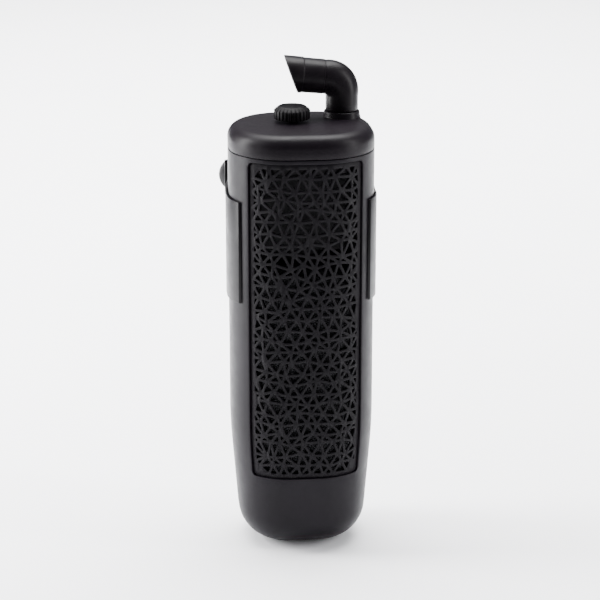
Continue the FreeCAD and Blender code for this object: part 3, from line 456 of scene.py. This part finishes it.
def foam_material():
    """Open-cell foam: round pores darkened inside by painted shade, with painted lighter rims between
    them, on a charcoal body.
    """
    finish = Finish("foam", (0.006, 0.006, 0.007), (0.014, 0.013, 0.0155), (0.85, 1.0),
                    patch=160, grain=3000, bump=0.3, depth=0.05)
    pores = finish.add("ShaderNodeTexVoronoi")
    pores.inputs["Scale"].default_value = 900
    finish.tree.links.new(finish.place, pores.inputs["Vector"])
    depth = pores.outputs["Distance"]
    finish.add_height(finish.spread(depth, 0, 1, 0.15, 0.75), 0.9, 0.5)
    # painted shade: the colour darkens towards the middle of each pore and lightens on the rims between
    # pores
    painted_pore_shade = finish.mix(depth, (0.25, 0.25, 0.25), (1.3, 1.3, 1.35), 0.1, 0.7)
    finish.colour = finish.blend("MULTIPLY", 1.0, finish.colour, painted_pore_shade)
    finish.join(finish.colour, "Base Color")
    return finish.material


foam = foam_material()


def copper_material():
    """Enamelled wire, with a line between its turns."""
    finish = Finish("winding_copper", (0.45, 0.13, 0.05), (0.62, 0.22, 0.09), (0.22, 0.34),
                    patch=120, metal=0.9)
    finish.bands("Y", 0.35, 0.8, 0.12)
    return finish.material


def steel_material():
    """Stack of steel sheets, with a line between them."""
    finish = Finish("core_steel", (0.2, 0.2, 0.21), (0.34, 0.34, 0.35), (0.32, 0.48),
                    patch=140, metal=1)
    finish.bands("Z", 0.5, 0.6, 0.06)
    return finish.material


winding_copper = copper_material()
core_steel = steel_material()
resin = Finish("resin", (0.008, 0.008, 0.009), (0.02, 0.019, 0.02), (0.16, 0.3), patch=70,
               grain=700, bump=0.15, depth=0.05).material
shaft_ceramic = Finish("shaft_ceramic", (0.74, 0.73, 0.7), (0.84, 0.83, 0.8), (0.16, 0.24),
                       patch=80, grain=2600, bump=0.06, depth=0.01).material
magnet_ferrite = Finish("magnet_ferrite", (0.03, 0.03, 0.032), (0.055, 0.053, 0.055),
                        (0.36, 0.5), patch=200, grain=1500, bump=0.3, depth=0.03).material


# ---------------------------------------------------------------- canister

def arc_offsets():
    """Steps round a window corner: how far in from the edge, and how far towards the corner."""
    turns = [math.pi / 2 * step / ARC_STEPS for step in range(ARC_STEPS + 1)]
    inwards = [WINDOW_CORNER * (1 - math.cos(turn)) for turn in turns]
    towards = [WINDOW_CORNER * (1 - math.sin(turn)) for turn in turns]
    return inwards, towards


def canister_levels(special):
    """Heights down the wall to where the foot's rounding starts."""
    rim, clear = -11.3, 0.45
    regular = [rim, -11.8, -22, -34, -48, -62, -76, -90, -104, -118, -130, -140, -144, -148,
               -152, -156, -160, -165, -174, -179, -184, -188]
    kept = [z for z in regular if all(abs(z - other) > clear for other in special)]
    return sorted(kept + special + [FOOT_START], reverse=True)


class WindowCells:
    """Which cells of the canister's grid stay round the window with its round corners."""

    def __init__(self):
        inwards, towards = arc_offsets()
        self.edge_runs = [WINDOW_RUN - offset for offset in inwards]
        self.top_levels = [WINDOW_TOP - offset for offset in towards]
        self.low_levels = [WINDOW_LOW + offset for offset in towards]
        self.runs = quarter_runs(self.edge_runs)
        self.levels = canister_levels(self.top_levels + self.low_levels)
        self.count = 4 * (len(self.runs) - 1)

    def run_of(self, index):
        """Signed run of a ring's point on the front, or None at the back."""
        if index < len(self.runs):
            return self.runs[index]
        if self.count - index < len(self.runs):
            return -self.runs[self.count - index]
        return None

    def corners(self, index, level):
        """Corners to keep of one cell of the grid: four, three at a window corner, or none."""
        following = (index + 1) % self.count
        cell = [(index, level), (following, level), (following, level + 1), (index, level + 1)]
        near, far = self.run_of(index), self.run_of(following)
        if near is None or far is None or level + 1 >= len(self.levels):
            return cell
        top, low = self.levels[level], self.levels[level + 1]
        outer_run = max(abs(near), abs(far))
        if top > WINDOW_TOP + SAME or low < WINDOW_LOW - SAME or outer_run > WINDOW_RUN + SAME:
            return cell
        step_in = [i for i in range(ARC_STEPS) if abs(self.edge_runs[i] - outer_run) < SAME]
        step_up = [i for i in range(ARC_STEPS)
                   if abs(self.top_levels[i] - low) < SAME or abs(self.low_levels[i] - top) < SAME]
        if not step_in or not step_up or step_up[0] < step_in[0]:
            return []
        if step_up[0] > step_in[0]:
            return cell
        at_top = abs(self.top_levels[step_up[0]] - low) < SAME
        dropped = (index if abs(near) < abs(far) else following, level + 1 if at_top else level)
        return [spot for spot in cell if spot != dropped]


def make_canister():
    """Shell with an open top and a window: one grid outside and one inside, joined at the edges."""
    wall = 2.2
    window = WindowCells()
    rings = []
    for inset in (0, wall):
        rings += [plan_ring(window.runs, z, inset) for z in window.levels]
        rings += foot_rings(window.runs, inset)
    points = [at(*point) for ring in rings for point in ring]
    count, rows = window.count, len(rings) // 2
    cells = []
    for level in range(rows - 1):
        for index in range(count):
            kept = window.corners(index, level)
            if kept:
                cells.append([row * count + column for column, row in kept])
    cells.append([(rows - 1) * count + index for index in range(count)])
    piece = new_piece("canister_shell", points, walled(cells, rows * count))
    bevel(piece, 0.35, 3, 50)
    smooth(piece)
    return finish_piece(piece, "canister", canister_plastic, ["canister"])


def make_rail():
    """T-shaped rail down the canister's back, with eased ends."""
    neck, flange = 2.6, 6.6
    root, step, back = HALF_DEPTH - 0.3, HALF_DEPTH + 2.4, HALF_DEPTH + 4.3
    section = [(-neck, root), (neck, root), (neck, step), (flange, step), (flange, back),
               (-flange, back), (-flange, step), (-neck, step)]
    levels = (-80.0, -31.0)
    points = [at(x, y, z) for z in levels for x, y in section]
    count = len(section)
    faces = strip([section] * len(levels)) + [tuple(range(count)), tuple(range(count, 2 * count))]
    piece = new_piece("canister_rail", points, faces)
    bevel(piece, 0.45, 3, 50)
    smooth(piece)
    return finish_piece(piece, "canister", canister_plastic)


# ---------------------------------------------------------------- intake lattice

def shrunk(corners, inset):
    """The triangle with each side moved inwards, or None where too little is left."""
    least = 0.45
    lengths = [(corners[(i + 1) % 3] - corners[(i + 2) % 3]).length for i in range(3)]
    total = sum(lengths)
    centre = sum((lengths[i] * corners[i] for i in range(3)), Vector((0, 0))) / total
    area = abs((corners[1] - corners[0]).cross(corners[2] - corners[0])) / 2
    inscribed = 2 * area / total
    if inscribed < inset + least:
        return None
    return [centre + (corner - centre) * (1 - inset / inscribed) for corner in corners]


def blunt(corners, radius):
    """Triangle with its points cut and rounded a little."""
    share = 0.3
    result = []
    for index in range(3):
        here = corners[index]
        before = corners[index - 1] - here
        after = corners[(index + 1) % 3] - here
        cut = min(radius, share * before.length, share * after.length)
        start = here + before.normalized() * cut
        end = here + after.normalized() * cut
        result += [start, (start + 2 * here + end) / 4, end]
    return result


def lattice_joints(half, low, high, pitch):
    """Joints of the lattice: along the border and, moved at random, inside it."""
    chance = random.Random(23)
    row_share, scatter = 0.87, 0.30
    rows = round((high - low) / (pitch * row_share))
    columns = round(2 * half / pitch)
    step_z, step_x = (high - low) / rows, 2 * half / columns
    joints = []
    for row in range(rows + 1):
        z = low + row * step_z
        shift = 0.5 * (row % 2)
        border = row in (0, rows)
        spots = [-half] + [-half + (i + shift) * step_x for i in range(columns + 1)] + [half]
        spots = sorted(set(round(x, 6) for x in spots if -half <= x <= half))
        for x in spots:
            at_side = abs(abs(x) - half) < 1e-3
            if border and at_side:
                continue
            spread_x = 0 if at_side else scatter * step_x
            spread_z = 0 if border else scatter * step_z
            joints.append(Vector((x + chance.uniform(-spread_x, spread_x),
                                  z + chance.uniform(-spread_z, spread_z))))
    return joints


def lattice_openings(half, low, high):
    """Blunt triangles between the ribs."""
    border, rib, pitch, point_round = 1.5, 1.25, 6.1, 0.7
    joints = lattice_joints(half - border, low + border, high - border, pitch)
    net = delaunay_2d_cdt(joints, [], [], 0, SAME)
    openings = []
    for triangle in net[2]:
        opening = shrunk([Vector(net[0][index]) for index in triangle], rib / 2)
        if opening:
            openings.append(blunt(opening, point_round))
    return openings


def lattice_outline(half, low, high):
    """The panel's outline, with cut and eased corners."""
    corner, ease = 2.0, 0.6
    return [(-half + corner, low), (half - corner, low), (half - ease, low + ease),
            (half, low + corner), (half, high - corner), (half - ease, high - ease),
            (half - corner, high), (-half + corner, high), (-half + ease, high - ease),
            (-half, high - corner), (-half, low + corner), (-half + ease, low + ease)]


def guide_lines(half, low, high):
    """Lines across the panel that let it bend round the front, a hair inside its outline."""
    columns, rows, hair = 24, 22, 1e-3
    lines = []
    for index in range(1, columns):
        run = -half + 2 * half * index / columns
        lines.append((Vector((run, low + hair)), Vector((run, high - hair))))
    for index in range(1, rows):
        z = low + (high - low) * index / rows
        lines.append((Vector((-half + hair, z)), Vector((half - hair, z))))
    return lines


def make_lattice():
    """Lattice panel: an irregular net of ribs with triangular openings, curved round the front."""
    half = WINDOW_RUN - 0.55
    low, high = WINDOW_LOW + 0.35, WINDOW_TOP - 0.35
    outer_inset, inner_inset = 0.95, 2.15
    verts, loops = [], []
    for loop in [lattice_outline(half, low, high)] + lattice_openings(half, low, high):
        loops.append(list(range(len(verts), len(verts) + len(loop))))
        verts += [Vector(point) for point in loop]
    edges = [(loop[i], loop[(i + 1) % len(loop)]) for loop in loops for i in range(len(loop))]
    for line in guide_lines(half, low, high):
        edges.append((len(verts), len(verts) + 1))
        verts += line
    result = delaunay_2d_cdt(verts, edges, loops, 1, 1e-5)
    flat, triangles, origins = result[0], result[2], result[5]
    kept = [list(face) for face, origin in zip(triangles, origins) if set(origin) == {0}]
    points = [at(*wall_point(p.x, p.y, outer_inset)) for p in flat]
    points += [at(*wall_point(p.x, p.y, inner_inset)) for p in flat]
    piece = new_piece("intake_lattice", points, walled(kept, len(flat)))
    bevel(piece, 0.22, 1, 50)
    smooth(piece, 50)
    return finish_piece(piece, "canister", grille_plastic, ["intake_grille"])


# ---------------------------------------------------------------- sponge

def pit(mesh):
    """Sink the skin by a coarse and a fine noise."""
    coarse_scale, fine_scale = 90, 420
    normals = [vertex.normal.copy() for vertex in mesh.vertices]
    for vertex, normal in zip(mesh.vertices, normals):
        coarse = noise.noise(vertex.co * coarse_scale)
        fine = noise.noise(vertex.co * fine_scale)
        sink = 0.22 + 0.22 * coarse + 0.3 * max(fine, 0)
        vertex.co -= normal * max(sink, 0) * MM


def make_sponge():
    """Foam cartridge: remeshed, with its skin pitted and edges softened."""
    shrink, foam_top, bore_round = 3.1, -67.3, 10.7
    runs = quarter_runs()
    rings = [plan_ring(runs, z, shrink) for z in (foam_top, -100, -140, -160, FOOT_START)]
    piece = rings_to_piece("sponge_block", rings + foot_rings(runs, shrink, 8))
    bore = lathe("bore", [(bore_round, -215), (bore_round, -60)], at, 48)
    boolean(piece, bore, "DIFFERENCE")
    remesh = piece.modifiers.new("Remesh", "REMESH")
    remesh.mode = "VOXEL"
    remesh.voxel_size = 1.5 * MM
    apply_modifiers(piece)
    pit(piece.data)
    smooth(piece, 180)
    finish_piece(piece, "canister", foam, ["sponge_cartridge"])
    return piece


# ---------------------------------------------------------------- pump head

def head_profile():
    """Insets and heights from the crown over the rounded edge, down the skirt and up inside."""
    edge_top, rounding, steps = -0.25, 6.2, 12
    skirt, lip, groove, groove_depth, lip_foot, inside = -11, 2.5, (-13.7, -15.5), 0.8, -19, 4.1
    crown = [(24, 0.3), (20, 0.27), (16, 0.2), (12, 0.06), (9, -0.08)]
    edge = []
    for step in range(steps, -1, -1):
        turn = math.pi / 2 * step / steps
        height = edge_top - rounding + rounding * math.sin(turn)
        edge.append((rounding * (1 - math.cos(turn)), height))
    side = [(0, -8), (0, skirt + 0.4), (0.12, skirt + 0.12), (0.4, skirt), (lip, skirt)]
    seat = [(lip, groove[0]), (lip + groove_depth, groove[0]), (lip + groove_depth, groove[1]),
            (lip, groove[1])]
    foot = [(lip, lip_foot + 0.4), (lip + 0.4, lip_foot), (inside - 0.4, lip_foot),
            (inside, lip_foot + 0.4)]
    ceiling = [(inside, -4.0), (inside + 0.4, -2.9), (inside + 1.5, -2.5)]
    return crown + edge + side + seat + foot + ceiling


def over(axis):
    """Placing of a turned form on an upright axis of the filter."""
    return lambda x, y, z: at(axis[0] + x, axis[1] + y, z)


def through_back(x, y, z):
    """Placing of a turned form on the axis of the cable gland, which points back."""
    gland_x, gland_z = -10, -6.2
    return at(gland_x + x, z, gland_z + y)


def make_head():
    """Head: rounded top, skirt, inner lip with its seal groove, and the outlet's collar."""
    runs = quarter_runs()
    rings = [plan_ring(runs, z, inset) for inset, z in head_profile()]
    piece = rings_to_piece("head_shell", rings)
    base, top, within = -1.8, 3.0, 4
    profile = [(9.3, base), (9.2, -0.6), (8.9, 0.3), (8.7, 1.2), (8.6, 2.4), (8.5, top - 0.25),
               (8.2, top), (within, top), (within, base)]
    collar = lathe("collar", profile, over(OUTLET), 96, closed=True)
    boolean(piece, collar, "UNION")
    for name, radius, span, place, segments in (
            ("hole", 5.85, (-8, 6), over(OUTLET), 96), ("stem", 3.05, (-8, 6), over(ROTOR), 64),
            ("gland", 3.6, (22, 40), through_back, 64)):
        drill = lathe(name, [(radius, span[0]), (radius, span[1])], place, segments)
        boolean(piece, drill, "DIFFERENCE")
    clean(piece)
    smooth(piece, 32)
    return finish_piece(piece, "pump_head", head_plastic, ["head_housing"])


# ---------------------------------------------------------------- outlet

BEND, BEND_START, TILT = 9.2, 10.25, math.radians(5.7)
TURN = math.pi / 2 - TILT
LIP_TOP, LIP_LOW = Vector((-27.6, 29.4)), Vector((-21.5, 12.0))
PIPE_SEGMENTS = 72
BORE, RISER, SPIGOT, SPIGOT_BORE = 5.2, 7.8, 5.8, 4.3
OUTER_FULLNESS = 1.1


def pipe_frame(bend):
    """Direction and outward side of the pipe, in x and z, after a bend angle."""
    return Vector((-math.sin(bend), math.cos(bend))), Vector((math.cos(bend), math.sin(bend)))


def arm_base():
    return Vector((BEND * (math.cos(TURN) - 1), BEND_START + BEND * math.sin(TURN)))


def mouth_reach(turn, radius):
    """How far along the arm the slanted mouth lies at an angle round the pipe."""
    along, side = pipe_frame(TURN)
    start = arm_base() + side * radius * math.cos(turn)
    edge = (LIP_LOW - LIP_TOP).normalized()
    across = Vector((-edge.y, edge.x))
    return -(start - LIP_TOP).dot(across) / along.dot(across)


def pipe_ring(stage, value, radius):
    """Ring of the pipe: on the riser at a height, in the bend at an angle, on the arm at a
    reach, or at a distance back from the slanted mouth. The bend's outer side is fuller."""
    ring = []
    for step in range(PIPE_SEGMENTS):
        turn = 2 * math.pi * step / PIPE_SEGMENTS
        fullness = 0
        if stage == "riser":
            centre, side = Vector((0, value)), Vector((1, 0))
        elif stage == "bend":
            along, side = pipe_frame(value)
            centre = Vector((BEND * (math.cos(value) - 1), BEND_START + BEND * math.sin(value)))
            if radius > BORE:
                fullness = OUTER_FULLNESS * math.sin(value * math.pi / TURN) * max(0, math.cos(turn))
        else:
            along, side = pipe_frame(TURN)
            reach = value if stage == "arm" else mouth_reach(turn, radius) - value
            centre = arm_base() + along * reach
        flat = centre + side * (radius + fullness) * math.cos(turn)
        ring.append(at(OUTLET[0] + flat.x, OUTLET[1] + radius * math.sin(turn), flat.y))
    return ring


def pipe_piece(name, steps):
    rings = [pipe_ring(*step) for step in steps]
    points = [point for ring in rings for point in ring]
    return new_piece(name, points, strip(rings, closed=True))


def make_elbow():
    """Elbow: spigot with a seal groove, riser, smooth bend and arm, bored right through."""
    foot, groove, shoulder = -9.7, (-7.6, -6.4), 3.3
    steps = [("riser", foot, SPIGOT - 0.2), ("riser", foot + 0.4, SPIGOT), ("riser", groove[0], SPIGOT),
             ("riser", groove[0], SPIGOT - 1), ("riser", groove[1], SPIGOT - 1),
             ("riser", groove[1], SPIGOT), ("riser", shoulder, SPIGOT),
             ("riser", shoulder, RISER - 0.45), ("riser", shoulder + 0.2, RISER - 0.15),
             ("riser", shoulder + 0.6, RISER), ("riser", 7.0, RISER)]
    bends, inner_bends, widening = 28, 14, 0.35
    for index in range(bends + 1):
        share = index / bends
        swell = widening * share * share * (3 - 2 * share)
        steps.append(("bend", TURN * share, RISER + swell))
    steps += [("arm", 0.42, 8.15), ("arm", 0.5, 8.05), ("arm", 0.55, 7.7), ("arm", 6.0, 7.7),
              ("mouth", 1.9, 7.7), ("mouth", 1.6, 7.55), ("mouth", 1.5, 7.3), ("mouth", 1.5, 6.7),
              ("mouth", 1.65, 6.4), ("mouth", 2.1, 6.2), ("mouth", 5.0, 5.4), ("mouth", 7.0, BORE),
              ("arm", 0.0, BORE)]
    steps += [("bend", TURN * (1 - index / inner_bends), BORE) for index in range(1, inner_bends + 1)]
    steps += [("riser", 4.2, BORE), ("riser", 3.0, SPIGOT_BORE), ("riser", foot + 0.3, SPIGOT_BORE),
              ("riser", foot, SPIGOT_BORE + 0.2), ("riser", foot - 0.25, SPIGOT_BORE + 0.6),
              ("riser", foot - 0.25, SPIGOT - 0.5)]
    piece = pipe_piece("elbow_pipe", steps)
    smooth(piece, 35)
    return finish_piece(piece, "outlet", outlet_plastic, ["outlet_elbow"])


def make_nozzle():
    """Flared sleeve over the arm, with a raised band round its slanted mouth."""
    steps = [("arm", 0.62, 7.78), ("arm", 0.58, 8.1), ("arm", 0.66, 8.25), ("arm", 0.95, 8.32),
             ("arm", 10.4, 8.4), ("arm", 10.7, 8.43), ("arm", 10.85, 8.52), ("arm", 11.0, 8.6),
             ("arm", 11.2, 8.65)]
    steps += [("mouth", 0.9, 8.72), ("mouth", 0.5, 8.7), ("mouth", 0.2, 8.6), ("mouth", 0.04, 8.42),
              ("mouth", 0.0, 8.2), ("mouth", 0.04, 8.0), ("mouth", 0.25, 7.85), ("mouth", 0.7, 7.78),
              ("mouth", 3.0, 7.76)]
    piece = pipe_piece("nozzle_sleeve", steps)
    smooth(piece, 35)
    return finish_piece(piece, "outlet", outlet_plastic, ["nozzle_tip"])


# ---------------------------------------------------------------- flow knob

def make_knob():
    """Knob: toothed side, bevelled top, shallow dish with a pointer rib, and its stem."""
    teeth, samples = 26, 12
    segments = teeth * samples
    top, rib_inner, rib_outer, rib_rise, rib_half = 7.79, 1.5, 6.0, 0.5, 0.55
    profile = [(1.2, -3.5, 0), (2.8, -3.5, 0), (3.0, -3.3, 0), (3.0, -1.7, 0), (2.36, -1.7, 0),
               (2.36, -0.8, 0), (3.0, -0.8, 0), (3.0, 1.6, 0), (8.0, 1.6, 0), (8.45, 1.75, 0.4),
               (8.62, 2.1, 0.55), (8.62, 4.0, 0.55), (8.62, 5.7, 0.55), (8.45, 6.05, 0.5),
               (8.1, 6.35, 0.38), (7.4, 6.95, 0.2), (6.75, 7.5, 0.08), (6.4, 7.72, 0),
               (6.1, 7.79, 0), (5.8, 7.76, 0), (5.5, 7.55, 0), (5.1, 7.35, 0), (3.5, 7.22, 0),
               (1.8, 7.18, 0), (0.6, 7.17, 0)]
    points = []
    for radius, height, depth in profile:
        for step in range(segments):
            turn = 2 * math.pi * step / segments
            notch = max(0.0, math.cos(teeth * turn)) ** 1.5
            reach = radius - depth * notch
            rise = 0.0
            if rib_inner < radius < rib_outer and height > 7:
                away = (turn - 1.5 * math.pi) * radius
                rise = min(rib_rise, top - height) * math.exp(-(away / rib_half) ** 4)
            points.append(at(ROTOR[0] + reach * math.cos(turn), ROTOR[1] + reach * math.sin(turn),
                             height + rise))
    rings = [range(segments)] * len(profile)
    faces = strip(rings)
    faces.append(tuple(range(segments)))
    faces.append(tuple(reversed(range(len(points) - segments, len(points)))))
    piece = new_piece("knob_grip", points, faces)
    smooth(piece, 38)
    return finish_piece(piece, "flow_knob", knob_plastic, ["flow_knob"])


# ---------------------------------------------------------------- suction cups

def make_cup(side):
    """Suction cup: thin hollow disc, neck for the holder's slot and a rounded head."""
    corners = [(0.3, -12.2, 0), (2.6, -12.15, 0.9), (3.75, -11.3, 0.9), (3.85, -9.4, 0.6),
               (3.4, -8.9, 0.3), (2.4, -8.88, 0.3), (2.4, -6.72, 0.3), (4.3, -6.65, 0.5),
               (4.6, -4.7, 0.9), (6.2, -3.3, 1.0), (7.6, -2.2, 0.8), (8.75, -1.1, 0.5),
               (8.98, -0.4, 0.3), (8.9, -0.05, 0.1), (8.3, -0.12, 0.3), (7.4, -0.75, 0.8),
               (5.0, -1.75, 1.2), (2.2, -2.35, 1.0), (0.3, -2.5, 0)]
    def place(x, y, z):
        return Vector((side * CUP_SPREAD + x, z, -y)) * MM

    name = "cup_right" if side > 0 else "cup_left"
    piece = lathe(name, rounded_profile(corners), place, 96)
    smooth(piece, 60)
    node = "suction_cup_right" if side > 0 else "suction_cup_left"
    return finish_piece(piece, "holder", cup_rubber, [node])


# ---------------------------------------------------------------- pieces that keep their CAD form

def softened(node, body, material, width, angle=40):
    """Copy of a CAD node's form with its sharp edges eased."""
    merge, level = 2e-6, math.radians(0.6)
    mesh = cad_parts[node].data.copy()
    piece = bpy.data.objects.new(node + "_eased", mesh)
    bpy.context.scene.collection.objects.link(piece)
    bm = bmesh.new()
    bm.from_mesh(mesh)
    bmesh.ops.remove_doubles(bm, verts=bm.verts, dist=merge)
    bmesh.ops.dissolve_limit(bm, angle_limit=level, verts=bm.verts, edges=bm.edges)
    bm.to_mesh(mesh)
    bm.free()
    bevel(piece, width, 2, angle)
    smooth(piece, 35)
    return finish_piece(piece, body, material, [node])


def keep(node, material):
    """A CAD node whose form is right keeps it and gets its material."""
    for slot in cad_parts[node].material_slots:
        slot.material = material


make_canister()
make_rail()
make_lattice()
make_sponge()
make_head()
make_elbow()
make_nozzle()
make_knob()
make_cup(-1)
make_cup(1)
softened("bracket", "holder", holder_plastic, 0.3)
softened("motor_housing", "pump_head", inner_plastic, 0.4)
softened("intake_cover", "pump_head", inner_plastic, 0.3)
softened("pump_chamber", "pump_head", inner_plastic, 0.2)
softened("throttle_ring", "flow_knob", inner_plastic, 0.2)
softened("impeller", "rotor", impeller_plastic, 0.15)
softened("cable_gland", "pump_head", seal_rubber, 0.15)
for node_name, finish in (
        ("strainer_tube", inner_plastic), ("head_seal", seal_rubber), ("knob_seal", seal_rubber),
        ("outlet_seal", seal_rubber), ("lower_shaft_bush", seal_rubber),
        ("upper_shaft_bush", seal_rubber), ("potting_resin", resin),
        ("stator_laminations", core_steel), ("coil_bobbin", bobbin_plastic),
        ("coil_winding", winding_copper), ("rotor_shaft", shaft_ceramic),
        ("lower_thrust_washer", bobbin_plastic), ("upper_thrust_washer", bobbin_plastic),
        ("rotor_sleeve", bobbin_plastic), ("rotor_magnet", magnet_ferrite)):
    keep(node_name, finish)


# ---------------------------------------------------------------- studio

def make_floor():
    """Pale paper under the object, wide enough to fill the view."""
    half, gap = 9.0, 0.0006
    level = cad_bounds[0].z - gap
    points = [(-half, -half, level), (half, -half, level), (half, half, level), (-half, half, level)]
    floor = new_piece("studio_floor", points, [(0, 1, 2, 3)])
    paper = Finish("paper", (0.93, 0.93, 0.95), (0.95, 0.95, 0.97), (0.7, 0.85), patch=3, grain=400,
                   bump=0.05, depth=0.1)
    floor.data.materials.append(paper.material)


def soft_light(name, spot, aim, width, height, power, spread=180):
    light = bpy.data.lights.new(name, "AREA")
    light.shape = "RECTANGLE"
    light.size, light.size_y = width, height
    light.energy = power
    light.spread = math.radians(spread)
    lamp = bpy.data.objects.new(name, light)
    lamp.location = spot
    lamp.rotation_euler = (Vector(aim) - Vector(spot)).to_track_quat("-Z", "Y").to_euler()
    bpy.context.scene.collection.objects.link(lamp)


def make_world():
    world = bpy.data.worlds.new("studio")
    world.use_nodes = True
    background = world.node_tree.nodes["Background"]
    background.inputs["Color"].default_value = (0.93, 0.94, 1.0, 1)
    background.inputs["Strength"].default_value = 0.32
    bpy.context.scene.world = world


def make_camera():
    camera = bpy.data.cameras.new("camera")
    camera.lens = 125
    camera.sensor_width = 36
    eye = bpy.data.objects.new("camera", camera)
    eye.location = (-0.0945, -1.001, 0.250)
    low, high = cad_bounds
    target = (low + high) / 2
    eye.rotation_euler = (target - eye.location).to_track_quat("-Z", "Y").to_euler()
    bpy.context.scene.collection.objects.link(eye)
    bpy.context.scene.camera = eye


make_floor()
make_world()
make_camera()
middle = (cad_bounds[0] + cad_bounds[1]) / 2
soft_light("left_box", (-0.85, 0.12, 0.15), middle, 0.3, 1.1, 34)
soft_light("right_box", (0.8, -0.3, 0.25), middle, 0.14, 0.9, 9)
soft_light("top_box", (0.0, 0.95, 1.5), (0.0, 0.95, 0.0), 2.2, 2.0, 110, spread=95)
